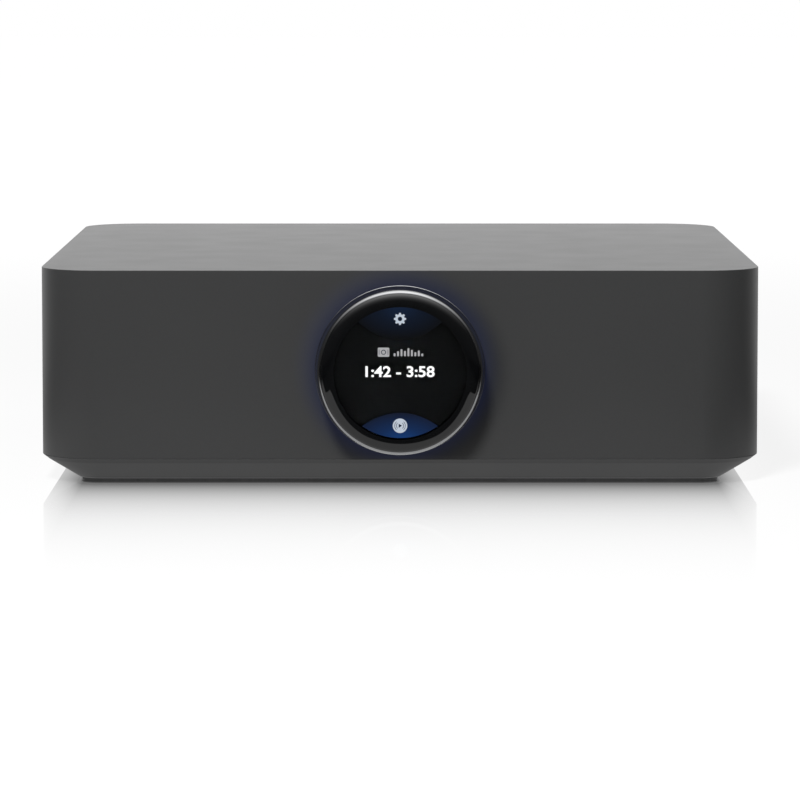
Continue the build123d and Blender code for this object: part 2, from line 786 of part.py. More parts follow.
# Mains inlet: a flanged moulding round a cavity with two cut corners, and three blades
cavity_floor = mains_flange - mains_cavity_depth
with BuildPart() as mains_inlet:
    with BuildSketch(upright(behind(mains_flange))):
        with Locations((mains_x, mains_z)):
            RectangleRounded(mains_flange_width, mains_flange_tall, mains_flange)
    extrude(amount=mains_flange)
    with BuildSketch(upright(behind(0))):
        with Locations((mains_x, mains_z)):
            Rectangle(mains_body_width, mains_body_tall)
    extrude(amount=mains_body_depth)
    with BuildSketch(upright(behind(mains_flange))) as mouth:
        with Locations((mains_x, mains_z)):
            Rectangle(mains_cavity_width, mains_cavity_tall)
        chamfer(mouth.vertices().group_by(Axis.Y)[-1], length=mains_cavity_corner)
    extrude(amount=mains_cavity_depth, mode=Mode.SUBTRACT)
    with BuildSketch(upright(behind(cavity_floor))):
        with Locations((mains_x - mains_pin_spacing, mains_z - mains_pin_offset),
                       (mains_x, mains_z + mains_pin_offset),
                       (mains_x + mains_pin_spacing, mains_z - mains_pin_offset)):
            Rectangle(mains_pin_thickness + 2 * pin_fit, mains_pin_tall + 2 * pin_fit)
    extrude(amount=mains_body_depth, mode=Mode.SUBTRACT)
keep(mains_inlet, "mains_inlet")

with BuildPart() as mains_pins:
    with BuildSketch(upright(behind(mains_flange - mains_pin_sink))):
        with Locations((mains_x - mains_pin_spacing, mains_z - mains_pin_offset),
                       (mains_x, mains_z + mains_pin_offset),
                       (mains_x + mains_pin_spacing, mains_z - mains_pin_offset)):
            Rectangle(mains_pin_thickness, mains_pin_tall)
    extrude(amount=mains_body_depth + mains_flange - mains_pin_sink + mains_pin_tail)
keep(mains_pins, "mains_pins")

# Boards
with BuildPart() as main_board:
    with BuildSketch(Plane.XY.offset(main_board_height)):
        with Locations(((main_board_left + main_board_right) / 2, (main_board_front + main_board_back) / 2)):
            Rectangle(main_board_right - main_board_left, main_board_back - main_board_front)
    extrude(amount=board_thickness)
keep(main_board, "main_board")

with BuildPart() as main_chips:
    for side, x, set_back in zip(chip_sides, chip_x, chip_set_back):
        with BuildSketch(Plane.XY.offset(main_board_top)):
            with Locations((x, main_board_front + set_back)):
                Rectangle(side, side)
        extrude(amount=chip_height)
keep(main_chips, "main_chips")

for side, name in ((-1, "power_board"), (1, "amp_board")):
    with BuildPart() as side_board:
        with BuildSketch(Plane.XY.offset(low_board_height)):
            with Locations((side * side_board_x, side_board_y)):
                Rectangle(side_board_width, side_board_depth)
        extrude(amount=board_thickness)
    keep(side_board, name)

# Power supply: a ferrite core with its coil, and two pairs of reservoir capacitors
with BuildPart() as transformer_core:
    with BuildSketch(upright(transformer_y + core_depth / 2)):
        with Locations((-side_board_x, low_board_top + core_height / 2)):
            Rectangle(core_width, core_height)
            for side in (1, -1):
                with Locations((side * (core_window + core_foot) / 4, 0)):
                    Rectangle((core_window - core_foot) / 2, core_window, mode=Mode.SUBTRACT)
    extrude(amount=core_depth)
keep(transformer_core, "transformer_core")

with BuildPart() as transformer_coil:
    with BuildSketch(Plane.XY.offset(low_board_top + (core_height - core_window) / 2 + coil_clearance)):
        with Locations((-side_board_x, transformer_y)):
            Rectangle(core_window - 2 * coil_clearance, core_depth + 2 * coil_overhang)
            Rectangle(core_foot + 2 * coil_clearance, core_depth + 2 * coil_clearance, mode=Mode.SUBTRACT)
    extrude(amount=core_window - 2 * coil_clearance)
keep(transformer_coil, "transformer_coil")

with BuildPart() as capacitors:
    for x in (-side_board_x - capacitor_spread, -side_board_x + capacitor_spread):
        for y in capacitor_y:
            with BuildSketch(Plane.XY.offset(low_board_top)):
                with Locations((x, y)):
                    Circle(capacitor_radius)
            extrude(amount=capacitor_height)
keep(capacitors, "capacitors")

# Amplifier: a finned heat sink and four output inductors
with BuildPart() as heat_sink:
    with BuildSketch(upright(sink_y + sink_depth / 2)):
        with Locations((side_board_x, low_board_top + sink_base / 2)):
            Rectangle(sink_width, sink_base)
        with Locations((side_board_x, low_board_top + sink_height / 2)):
            with GridLocations((sink_width - sink_fin) / (sink_fins - 1), 0, sink_fins, 1):
                Rectangle(sink_fin, sink_height)
    extrude(amount=sink_depth)
keep(heat_sink, "heat_sink")

with BuildPart() as inductors:
    with BuildSketch(Plane.XY.offset(low_board_top)):
        for y in inductor_y:
            with Locations((side_board_x, y)):
                with GridLocations(inductor_pitch, 0, 2, 1):
                    Rectangle(inductor_side, inductor_side)
    extrude(amount=inductor_height)
    chamfer(inductors.edges().filter_by(Axis.Z), length=inductor_chamfer)
keep(inductors, "inductors")

# Radio antennas: two thin boards against the side walls near the front corners
with BuildPart() as antennas:
    antenna_out = case_width / 2 - case_wall - antenna_thickness / 2
    for side in (1, -1):
        with BuildSketch(Plane.XY.offset(antenna_bottom)):
            with Locations((side * antenna_out, front_y + antenna_set_back)):
                Rectangle(antenna_thickness, antenna_width)
        extrude(amount=antenna_tall)
keep(antennas, "antennas")
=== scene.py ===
"""Streaming amplifier: a dark metal case with a round display inside a turning volume ring.

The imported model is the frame. The case shell, the tray, the dial and the speaker caps are made anew here, what
the display shows and the panel's screws are added, and every other piece keeps its shape and gets its finish.
"""

import json
import math

import bmesh
import bpy
from mathutils import Matrix, Vector


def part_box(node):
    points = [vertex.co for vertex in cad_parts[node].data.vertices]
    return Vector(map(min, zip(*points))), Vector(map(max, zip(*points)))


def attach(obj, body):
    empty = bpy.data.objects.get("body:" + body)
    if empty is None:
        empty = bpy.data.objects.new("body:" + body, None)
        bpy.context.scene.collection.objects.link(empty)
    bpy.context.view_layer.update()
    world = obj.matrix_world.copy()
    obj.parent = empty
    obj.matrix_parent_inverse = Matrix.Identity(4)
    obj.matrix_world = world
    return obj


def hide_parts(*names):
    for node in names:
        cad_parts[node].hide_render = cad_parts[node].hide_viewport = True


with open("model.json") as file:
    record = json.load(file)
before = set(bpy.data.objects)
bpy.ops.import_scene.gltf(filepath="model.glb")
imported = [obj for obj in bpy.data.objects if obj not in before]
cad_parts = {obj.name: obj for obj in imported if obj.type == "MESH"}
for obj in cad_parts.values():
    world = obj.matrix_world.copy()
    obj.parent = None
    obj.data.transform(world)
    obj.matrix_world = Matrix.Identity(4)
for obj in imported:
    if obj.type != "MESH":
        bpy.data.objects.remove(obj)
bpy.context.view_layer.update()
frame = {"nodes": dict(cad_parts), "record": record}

bl_info = {
    "name": "Streaming amplifier",
    "version": (1, 0, 0),
    "blender": (4, 5, 0),
    "location": "3D View > Sidebar > Amplifier",
    "description": "Dresses the packed amplifier with its shell, dial, display, rear fittings and finishes",
    "category": "Add Mesh",
}

MM = 0.001
case_low, case_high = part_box("upper_case")
panel_low, panel_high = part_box("rear_panel")
foot_low, foot_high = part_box("foot_ring")
FRONT = case_low.y
REAR = case_high.y
PANEL = panel_high.y
CAPS = ("post_cap_1", "post_cap_2", "post_cap_3", "post_cap_4")
REMADE = ("upper_case", "base_tray", "cover_glass", "volume_ring", *CAPS)
SLOTS = {part["node"]: part["material_slot"] for part in frame["record"]["subparts"]}
CORNERS = ((1, 1), (1, -1), (-1, 1), (-1, -1))
BLACK = (0.0, 0.0, 0.0)


# Settings

def size(name, description, default):
    return bpy.props.FloatProperty(name=name, description=description, default=default, unit="LENGTH",
                                   subtype="DISTANCE", precision=5)


def colour(name, description, default):
    return bpy.props.FloatVectorProperty(name=name, description=description, default=default, size=3,
                                         subtype="COLOR", min=0.0, max=1.0)


class AmplifierCase(bpy.types.PropertyGroup):
    """Sizes of the case's shell."""

    corner: size("Corner", "Radius of the four upright corners", 18 * MM)
    wall: size("Wall", "Thickness of the shell", 3 * MM)
    edge: size("Top edge", "Rounding between the walls and the top", 0.14 * MM)
    seam: size("Seam edge", "Rounding of the shell's lower edge", 0.08 * MM)
    seam_drop: size("Seam drop", "How far the shell's lower edge comes down towards the tray", 0.15 * MM)
    dial_hole: size("Dial hole", "Radius of the hole for the dial", 25.0 * MM)
    pocket_width: size("Pocket width", "Width of the pocket for the rear panel", 172 * MM)
    pocket_height: size("Pocket height", "Height of the pocket for the rear panel", 43 * MM)
    pocket_middle: size("Pocket middle", "Height of the pocket's middle above the table", 36 * MM)
    pocket_corner: size("Pocket corner", "Radius of the pocket's corners", 4 * MM)
    pocket_frame: size("Pocket frame", "Thickness of the frame round the pocket", 2 * MM)
    pocket_depth: size("Pocket depth", "How far that frame runs in from the shell's wall", 6 * MM)
    column_side: size("Column side", "Width of the columns under the top", 8 * MM)


class AmplifierTray(bpy.types.PropertyGroup):
    """Sizes of the tray under the case."""

    top: size("Top", "Height of the tray's upper edge above the table", 7.8 * MM)
    band_inset: size("Band inset", "How far the upper band slopes in", 1.6 * MM)
    band_foot: size("Band foot", "Height of the band's lower edge", 6.5 * MM)
    bevel_inset: size("Bevel inset", "How far the bevel runs in under the case", 11 * MM)
    underside: size("Underside", "Height of the tray's underside above the table", 0.7 * MM)
    floor: size("Floor", "Height of the tray's inner floor", 4.1 * MM)
    well_inset: size("Well inset", "Distance of the inner well's wall from the outside", 11.3 * MM)
    tongue_outer: size("Tongue outer", "Distance of the tongue's outer wall from the outside", 3.3 * MM)
    tongue_inner: size("Tongue inner", "Distance of the tongue's inner wall from the outside", 5.3 * MM)
    tongue_top: size("Tongue top", "Height of the tongue that centres the case", 11.5 * MM)
    notch_width: size("Notch width", "Width of the gap in the tongue under the dial", 54 * MM)
    groove_outer: size("Groove outer", "Distance of the foot's groove from the outside", 11.7 * MM)
    groove_inner: size("Groove inner", "Distance of the groove's inner wall from the outside", 19.9 * MM)
    groove_top: size("Groove top", "Height of the groove's roof", 2.4 * MM)
    post_side: size("Post side", "Width of the posts under the boards", 6 * MM)
    post_inset: size("Post inset", "Distance of the posts from the boards' edges", 4 * MM)
    socket_clear: size("Socket clearance", "Added to that distance under the main board's sockets", 7.5 * MM)
    pillar_side: size("Pillar side", "Width of the pillars under the case's columns", 10 * MM)
    pillar_top: size("Pillar top", "Height of the pillars", 12 * MM)
    pillar_inset: size("Pillar inset", "Distance of the pillars from the outside", 17 * MM)
    vent_width: size("Vent width", "Width of a vent slot in the floor", 3 * MM)
    vent_length: size("Vent length", "Length of a vent slot", 44 * MM)
    vent_pitch: size("Vent pitch", "Distance between vent slots", 8 * MM)


class AmplifierDial(bpy.types.PropertyGroup):
    """Sizes of the volume ring, its glass and the lit display."""

    height: size("Height", "Height of the dial's middle above the table", 34.4 * MM)
    ring_radius: size("Ring radius", "Radius of the volume ring at its foot", 25.25 * MM)
    rim_radius: size("Rim radius", "Radius of the volume ring behind its rounded rim", 24.5 * MM)
    rim_bore: size("Rim bore", "Radius of the opening that the glass sits in", 23.5 * MM)
    rim_round: size("Rim rounding", "How far the rim's rounding runs along the ring", 2.0 * MM)
    sleeve_radius: size("Sleeve radius", "Outer radius of the sleeve inside the case", 23.7 * MM)
    sleeve_bore: size("Sleeve bore", "Inner radius of the sleeve inside the case", 22.5 * MM)
    ring_reach: size("Ring reach", "How far the ring stands in front of the case", 9.0 * MM)
    lip_gap: size("Lip gap", "Gap between the ring's foot and the case", 0.7 * MM)
    ring_tail: size("Ring tail", "How far the sleeve runs behind the case's front", 6.0 * MM)
    ring_step: size("Ring step", "Reach of the step behind the glass", 5.9 * MM)
    glass_radius: size("Glass radius", "Radius of the cover glass", 23.46 * MM)
    glass_flat: size("Glass flat", "Radius of the flat part of the glass", 19.6 * MM)
    glass_reach: size("Glass reach", "How far the glass stands in front of the case", 10.4 * MM)
    glass_edge: size("Glass edge", "Height of the straight edge of the glass", 1.0 * MM)
    glass_curve: size("Glass curve", "Radius at which the curve of the glass would stand upright", 23.65 * MM)
    glass_thickness: size("Glass thickness", "Thickness of the glass at its flat part", 3.0 * MM)
    screen_reach: size("Screen reach", "Reach of the display's face", 7.2 * MM)
    screen_radius: size("Screen radius", "Radius of the lit part of the display", 19.4 * MM)


class AmplifierRear(bpy.types.PropertyGroup):
    """Sizes of the fittings on the rear panel."""

    cap_radius: size("Cap radius", "Radius of a speaker cap over its ribs", 7.3 * MM)
    cap_groove: size("Cap groove", "Depth of the grooves between the ribs", 0.7 * MM)
    cap_ribs: bpy.props.IntProperty(name="Cap ribs", description="Number of ribs round a speaker cap",
                                    default=12)
    cap_mouth: size("Cap mouth", "Radius of the hole in a cap's foot", 3.3 * MM)
    cap_foot: size("Cap foot", "Thickness of a cap's foot", 3.6 * MM)
    cap_bore: size("Cap bore", "Radius of a cap's bore round its threaded insert", 4.65 * MM)
    screw_head: size("Screw head", "Radius of a screw's head", 2.6 * MM)
    screw_height: size("Screw height", "Height of a screw's head", 1.5 * MM)
    screw_recess: size("Screw recess", "Width of the six-sided recess across its flats", 2.2 * MM)
    screw_x: size("Screw spacing across", "Distance of the panel screws from the middle", 82.5 * MM)
    screw_z: size("Screw spacing up", "Distance of the panel screws from its middle height", 17.5 * MM)


class AmplifierColours(bpy.types.PropertyGroup):
    """Colours of the finishes."""

    case: colour("Case", "Blasted and anodised metal of the case", (0.031, 0.0312, 0.0315))
    ring: colour("Ring", "Turned metal of the volume ring", (0.29, 0.292, 0.297))
    glow: colour("Glow", "Light that falls on the case round the dial", (0.10, 0.20, 1.0))
    screen: colour("Screen", "Unlit display", (0.0038, 0.0045, 0.0048))
    lit_blue: colour("Lit blue", "Blue at the bottom of the display", (0.0086, 0.0400, 0.150))
    dim_blue: colour("Dim blue", "Blue at the top of the display", (0.0080, 0.0155, 0.0360))
    panel: colour("Rear panel", "Painted rear panel", (0.022, 0.022, 0.023))
    cap_red: colour("Red cap", "Plastic of the positive speaker caps", (0.42, 0.012, 0.010))
    cap_black: colour("Black cap", "Plastic of the negative speaker caps", (0.018, 0.018, 0.019))
    gold: colour("Gold", "Gold plating of the sockets", (0.83, 0.60, 0.26))
    board: colour("Board", "Solder mask of the circuit boards", (0.010, 0.085, 0.035))


class AmplifierSettings(bpy.types.PropertyGroup):
    """All the amplifier's settings."""

    case: bpy.props.PointerProperty(type=AmplifierCase)
    tray: bpy.props.PointerProperty(type=AmplifierTray)
    dial: bpy.props.PointerProperty(type=AmplifierDial)
    rear: bpy.props.PointerProperty(type=AmplifierRear)
    colours: bpy.props.PointerProperty(type=AmplifierColours)


def chosen():
    """The amplifier's settings in the scene."""
    return bpy.context.scene.amplifier


# Finishes

class Nodes:
    """A node tree in the making, with short ways to add nodes to it."""

    def __init__(self, tree):
        self.tree = tree

    def add(self, kind, inputs=None, **settings):
        """A new node. An input that is a socket is linked, and any other becomes the socket's value."""
        made = self.tree.nodes.new(kind)
        for name, value in settings.items():
            setattr(made, name, value)
        for socket, value in (inputs or {}).items():
            if isinstance(value, bpy.types.NodeSocket):
                self.tree.links.new(value, made.inputs[socket])
            else:
                made.inputs[socket].default_value = value
        return made

    def calc(self, operation, *values):
        return self.add("ShaderNodeMath", dict(enumerate(values)), operation=operation).outputs[0]

    def times(self, first, second):
        return self.calc("MULTIPLY", first, second)

    def plus(self, first, second):
        return self.calc("ADD", first, second)

    def minus(self, first, second):
        return self.calc("SUBTRACT", first, second)

    def distance(self, across, up):
        """How far a point is from the middle, when it is this far across and up from it."""
        return self.calc("SQRT", self.plus(self.calc("POWER", across, 2.0), self.calc("POWER", up, 2.0)))

    def span(self, value, start, end, low, high, curve="SMOOTHSTEP"):
        """Low until the value comes to start, high from end on, and a curve between them."""
        made = self.add("ShaderNodeMapRange", {"Value": value, "From Min": start, "From Max": end,
                                               "To Min": low, "To Max": high}, interpolation_type=curve)
        return made.outputs["Result"]

    def ramp(self, factor, stops):
        made = self.add("ShaderNodeValToRGB", {"Fac": factor})
        elements = made.color_ramp.elements
        while len(elements) < len(stops):
            elements.new(0.5)
        for element, (position, shade) in zip(elements, stops):
            element.position = position
            element.color = (*shade, 1.0)
        return made.outputs["Color"]

    def blend(self, factor, first, second):
        """The first colour where the factor is 0, and the second where it is 1."""
        made = self.add("ShaderNodeMix", data_type="RGBA")
        sockets = {socket.identifier: socket for socket in made.inputs}
        for key, value in (("Factor_Float", factor), ("A_Color", first), ("B_Color", second)):
            if isinstance(value, bpy.types.NodeSocket):
                self.tree.links.new(value, sockets[key])
            else:
                sockets[key].default_value = (*value, 1.0)
        return next(socket for socket in made.outputs if socket.identifier == "Result_Color")


class Finish(Nodes):
    """A material in the making: its shader, and short ways to lay grain, lines and colour on it."""

    def __init__(self, name, base, roughness, metallic=0.0, sockets=None):
        self.material = bpy.data.materials.new(name)
        self.material.use_nodes = True
        super().__init__(self.material.node_tree)
        self.shader = self.tree.nodes["Principled BSDF"]
        self.base = tuple(base)
        self.roughness = roughness
        values = {"Base Color": (*base, 1.0), "Roughness": roughness, "Metallic": metallic}
        for socket, value in {**values, **(sockets or {})}.items():
            self.shader.inputs[socket].default_value = value
        self.place = self.add("ShaderNodeTexCoord").outputs["Object"]

    def axes(self, vector=None):
        return self.add("ShaderNodeSeparateXYZ", {0: vector or self.place}).outputs

    def noise(self, scale, detail=2.0, place=None):
        return self.add("ShaderNodeTexNoise", {"Vector": place or self.place, "Scale": scale,
                                               "Detail": detail}).outputs["Fac"]

    def stretched(self, scales):
        return self.add("ShaderNodeVectorMath", {0: self.place, 1: scales}, operation="MULTIPLY").outputs[0]

    def into(self, socket, value):
        self.tree.links.new(value, self.shader.inputs[socket])

    def mottle(self, spread, scale, detail=3.0):
        """Lets the base colour wander a little lighter and darker."""
        darker = [c * (1 - spread) for c in self.base]
        lighter = [min(1.0, c * (1 + spread)) for c in self.base]
        self.into("Base Color", self.ramp(self.noise(scale, detail), [(0.3, darker), (0.7, lighter)]))

    def lay(self, factor, shade):
        """Lays a shade over the base colour as it is so far, where the factor is above 0."""
        links = self.shader.inputs["Base Color"].links
        below = links[0].from_socket if links else self.base
        self.into("Base Color", self.blend(factor, below, shade))

    def wear(self, spread, scale):
        """Lets the roughness wander, as handling and polishing leave it."""
        low, high = max(0.0, self.roughness - spread), min(1.0, self.roughness + spread)
        self.into("Roughness", self.span(self.noise(scale), 0.3, 0.7, low, high, "LINEAR"))

    def bump(self, height, depth):
        """Adds relief of this depth in metres."""
        made = self.add("ShaderNodeBump", {"Height": height, "Distance": depth, "Strength": 1.0})
        self.into("Normal", made.outputs["Normal"])


def blasted_metal(name, shade, roughness, metallic):
    """Metal blasted with fine beads and anodised."""
    made = Finish(name, shade, roughness, metallic)
    made.mottle(0.04, 2500, 4)
    made.wear(0.012, 60)
    made.bump(made.noise(5200), 0.004 * MM)
    return made


def case_metal():
    """The case's metal, with the dial's shadow and blue light on the front face."""
    made = blasted_metal("case_metal", chosen().colours.case, 0.45, 0.2)
    x, y, z = made.axes()
    on_front = made.calc("LESS_THAN", y, FRONT + 0.05 * MM)

    def near_dial(right, above, outer):
        """1 at the dial, falling to 0 at the outer radius, about a point right of and above its middle."""
        away = made.distance(made.minus(x, right), made.minus(z, chosen().dial.height + above))
        return made.times(made.span(away, 23.0 * MM, outer, 1.0, 0.0, "SMOOTHERSTEP"), on_front)

    shadow = near_dial(1.6 * MM, -1.4 * MM, 34.0 * MM)
    made.lay(made.times(shadow, 0.62), (0.004, 0.005, 0.007))
    front_gloss, side_gloss = 0.27, 0.5
    made.into("Specular IOR Level", made.span(y, FRONT, FRONT + 4 * MM, front_gloss, side_gloss, "LINEAR"))
    glow = near_dial(-0.8 * MM, 1.2 * MM, 33.0 * MM)
    made.into("Emission Color", made.blend(glow, BLACK, [0.022 * c for c in chosen().colours.glow]))
    made.shader.inputs["Emission Strength"].default_value = 1.0
    return made


def tray_metal():
    """The tray's metal, painted lighter than the case's for the floor's light on the bevel, with a painted
    highlight along its lowest edge, a painted shadow line above it and painted shade on its upper band.
    """
    tray, case = chosen().tray, chosen().colours.case
    # Painted light: the case's colour made lighter for the light that the bevel takes from the floor.
    made = blasted_metal("tray_metal", [1.72 * c for c in case], 0.55, 0.0)
    made.shader.inputs["Specular IOR Level"].default_value = 0.22
    height = made.axes()[2]
    painted_highlight_top = tray.underside + 0.3 * MM
    groove_top = painted_highlight_top + 0.35 * MM
    band_foot = tray.top - 1.4 * MM
    # Painted shadow: darker up to just above the lowest edge; the painted highlight laid below it leaves a dark
    # line.
    made.lay(made.times(made.calc("LESS_THAN", height, groove_top), 0.3), BLACK)
    # Painted shade: the upper band darker.
    made.lay(made.times(made.calc("GREATER_THAN", height, band_foot), 0.2), BLACK)
    # Painted highlight: a bright line along the lowest edge.
    made.lay(made.calc("LESS_THAN", height, painted_highlight_top), [3.6 * c for c in case])
    return made


def ring_metal():
    """Metal turned on a lathe, with fine lines that run round the dial."""
    made = Finish("ring_metal", chosen().colours.ring, 0.16, 1.0)
    x, y, z = made.axes()
    along = made.plus(made.distance(x, made.minus(z, chosen().dial.height)), y)
    lines = made.add("ShaderNodeCombineXYZ", {0: made.times(along, 16000.0)}).outputs[0]
    made.mottle(0.05, 400)
    made.wear(0.04, 120)
    made.bump(made.noise(1.0, 3, lines), 0.0012 * MM)
    return made


def cover_glass_edge():
    """The curved edge of the glass, dark from the paint behind it."""
    made = Finish("cover_glass_edge", (0.0014, 0.0015, 0.0017), 0.05, 0.0,
                  {"IOR": 1.5, "Specular IOR Level": 0.5})
    made.mottle(0.1, 300)
    made.wear(0.02, 40)
    return made


def cover_glass_window():
    """The flat middle of the glass, clear and coated against reflections."""
    made = Finish("cover_glass_window", (1.0, 1.0, 1.0), 0.0, 0.0, {"Transmission Weight": 1.0, "IOR": 1.08})
    made.bump(made.noise(60), 0.0003 * MM)
    return made


def screen_black():
    """The display's face where no pixel is lit."""
    made = Finish("screen_black", chosen().colours.screen, 0.25, 0.0, {"Specular IOR Level": 0.09})
    made.mottle(0.15, 700)
    made.bump(made.noise(4000, 1), 0.001 * MM)
    return made


def lit_finish(name, strength=1.0):
    """A matt black surface that shines at this strength, once it has a colour to shine in."""
    return Finish(name, BLACK, 0.6, 0.0, {"Specular IOR Level": 0.0, "Emission Strength": strength})


def lit_field(name, centre, squeeze, inner, outer, bright, dim):
    """A patch of light, bright at its centre. A squeeze under 1 makes it wider than it is high."""
    made = lit_finish(name)
    x, y, z = made.axes()
    away = made.distance(made.times(made.minus(x, centre[0]), squeeze), made.minus(z, centre[1]))
    fade = made.span(away, inner, outer, 0.0, 1.0, "LINEAR")
    halfway = [(b + d) / 2 for b, d in zip(bright, dim)]
    made.into("Emission Color", made.ramp(fade, [(0.0, bright), (0.35, halfway), (1.0, dim)]))
    return made


def upper_field():
    """Dim blue round the settings sign."""
    centre = (0.0, chosen().dial.height + 19 * MM)
    return lit_field("upper_field", centre, 0.62, 1.0 * MM, 9.0 * MM, chosen().colours.dim_blue,
                     (0.0052, 0.0056, 0.0064))


def lower_field():
    """Lit blue round the play sign."""
    centre = (0.5 * MM, chosen().dial.height - 19.5 * MM)
    return lit_field("lower_field", centre, 0.5, 0.5 * MM, 8.0 * MM, chosen().colours.lit_blue,
                     (0.0085, 0.0105, 0.0190))


def lit_sign(name, shade, strength=1.0):
    """A lit sign on the display, with the fine screen of its pixels."""
    made = lit_finish(name, strength)
    shades = [(0.2, [0.97 * c for c in shade]), (0.8, shade)]
    made.into("Emission Color", made.ramp(made.noise(9000, 1), shades))
    return made


def foot_rubber():
    made = Finish("foot_rubber", (0.075, 0.075, 0.076), 0.8)
    made.mottle(0.08, 1500)
    made.wear(0.08, 250)
    made.bump(made.noise(3000, 3), 0.02 * MM)
    return made


def moulded_plastic(name, shade, roughness=0.45):
    """Moulded plastic with a fine spark-eroded grain."""
    made = Finish(name, shade, roughness)
    made.mottle(0.06, 700)
    made.wear(0.06, 220)
    made.bump(made.noise(4200, 3), 0.006 * MM)
    return made


def gloss_plastic(name, shade):
    made = Finish(name, shade, 0.18, 0.0, {"Coat Weight": 0.4, "Coat Roughness": 0.08})
    made.mottle(0.08, 260)
    made.wear(0.06, 140)
    made.bump(made.noise(900), 0.002 * MM)
    return made


def plated_metal(name, shade, roughness=0.2):
    """Plated metal with faint turning lines and handling marks."""
    made = Finish(name, shade, roughness, 1.0)
    made.mottle(0.05, 500)
    made.wear(0.07, 350)
    made.bump(made.noise(1.0, 2, made.stretched((900.0, 9000.0, 900.0))), 0.002 * MM)
    return made


def panel_coat():
    """Matt black powder paint."""
    made = Finish("panel_coat", chosen().colours.panel, 0.55)
    made.mottle(0.1, 1200)
    made.wear(0.06, 300)
    made.bump(made.noise(2600), 0.012 * MM)
    return made


def zinc_steel():
    """Zinc-plated steel with the faint relief of its crystals."""
    made = Finish("steel", (0.532, 0.5432, 0.5556), 0.34, 1.0)
    crystals = made.add("ShaderNodeTexVoronoi", {"Vector": made.place, "Scale": 260.0}).outputs["Color"]
    made.wear(0.08, 200)
    made.bump(made.axes(crystals)[0], 0.002 * MM)
    return made


def circuit_board():
    """Green solder mask over copper tracks and plated holes."""
    made = Finish("circuit_board", chosen().colours.board, 0.35, 0.0, {"Coat Weight": 0.3})
    tracks = made.add("ShaderNodeTexBrick", {
        "Vector": made.place, "Scale": 170.0, "Mortar Size": 0.06, "Mortar Smooth": 0.1,
        "Color1": (0, 0, 0, 1), "Color2": (0.15, 0.15, 0.15, 1), "Mortar": (1, 1, 1, 1)}).outputs["Color"]
    holes = made.add("ShaderNodeTexVoronoi", {"Vector": made.place, "Scale": 230.0}).outputs["Distance"]
    made.lay(tracks, [1.9 * c for c in made.base])
    made.lay(made.calc("LESS_THAN", holes, 0.13), (0.55, 0.50, 0.40))
    made.wear(0.06, 180)
    made.bump(tracks, 0.03 * MM)
    return made


def light_guide():
    """Milky plastic that glows faintly."""
    made = Finish("light_guide", (0.30, 0.34, 0.45), 0.4, 0.0, {"Emission Strength": 0.25})
    shades = [(0.3, (0.03, 0.06, 0.30)), (0.7, (0.04, 0.08, 0.36))]
    made.into("Emission Color", made.ramp(made.noise(150, 1), shades))
    made.bump(made.noise(2000), 0.004 * MM)
    return made


def ripples(made, along, pitch):
    """A wave between -1 and 1 that repeats at this pitch along an axis."""
    return made.calc("SINE", made.times(along, 2 * math.pi / pitch))


def ribbon_film():
    """Amber film over copper strips."""
    made = Finish("ribbon_film", (0.50, 0.22, 0.03), 0.3, 0.0, {"Coat Weight": 0.5})
    copper = made.calc("GREATER_THAN", ripples(made, made.axes()[0], 0.5 * MM), 0.0)
    made.lay(copper, (0.62, 0.30, 0.08))
    made.wear(0.05, 200)
    made.bump(copper, 0.02 * MM)
    return made


def ferrite():
    made = Finish("ferrite", (0.035, 0.035, 0.038), 0.7, 0.1)
    made.mottle(0.2, 900)
    made.wear(0.1, 300)
    made.bump(made.noise(2500, 4), 0.02 * MM)
    return made


def coil_tape():
    """Yellow tape wound over the coil, its turns showing through."""
    made = Finish("coil_tape", (0.62, 0.42, 0.05), 0.3, 0.0, {"Coat Weight": 0.4})
    made.mottle(0.12, 300)
    made.wear(0.06, 200)
    made.bump(ripples(made, made.axes()[2], 1.1 * MM), 0.08 * MM)
    return made


def capacitor_sleeve():
    """A shrunk sleeve with bare metal on top."""
    made = Finish("capacitor_sleeve", (0.012, 0.014, 0.05), 0.32)
    upward = made.axes(made.add("ShaderNodeNewGeometry").outputs["Normal"])[2]
    bare = made.calc("GREATER_THAN", upward, 0.9)
    made.lay(bare, (0.6, 0.61, 0.62))
    made.into("Metallic", bare)
    made.wear(0.06, 260)
    made.bump(made.noise(1200), 0.01 * MM)
    return made


def sink_metal():
    """Extruded aluminium with die lines along its length."""
    made = Finish("sink_metal", (0.42, 0.43, 0.44), 0.36, 1.0)
    made.mottle(0.06, 200)
    made.wear(0.06, 150)
    made.bump(made.noise(1.0, 2, made.stretched((6000.0, 60.0, 6000.0))), 0.008 * MM)
    return made


def phono_colours():
    """The three sockets' plastic: white, red and black, told apart by their places."""
    made = moulded_plastic("phono_plastic", (0.55, 0.55, 0.53), 0.4)
    x, y, z = made.axes()
    lower = made.calc("LESS_THAN", z, 36 * MM)
    nearer = made.calc("LESS_THAN", x, 20 * MM)
    white_or_red = made.blend(lower, (0.62, 0.62, 0.60), (0.45, 0.015, 0.012))
    made.into("Base Color", made.blend(nearer, white_or_red, (0.02, 0.02, 0.021)))
    return made


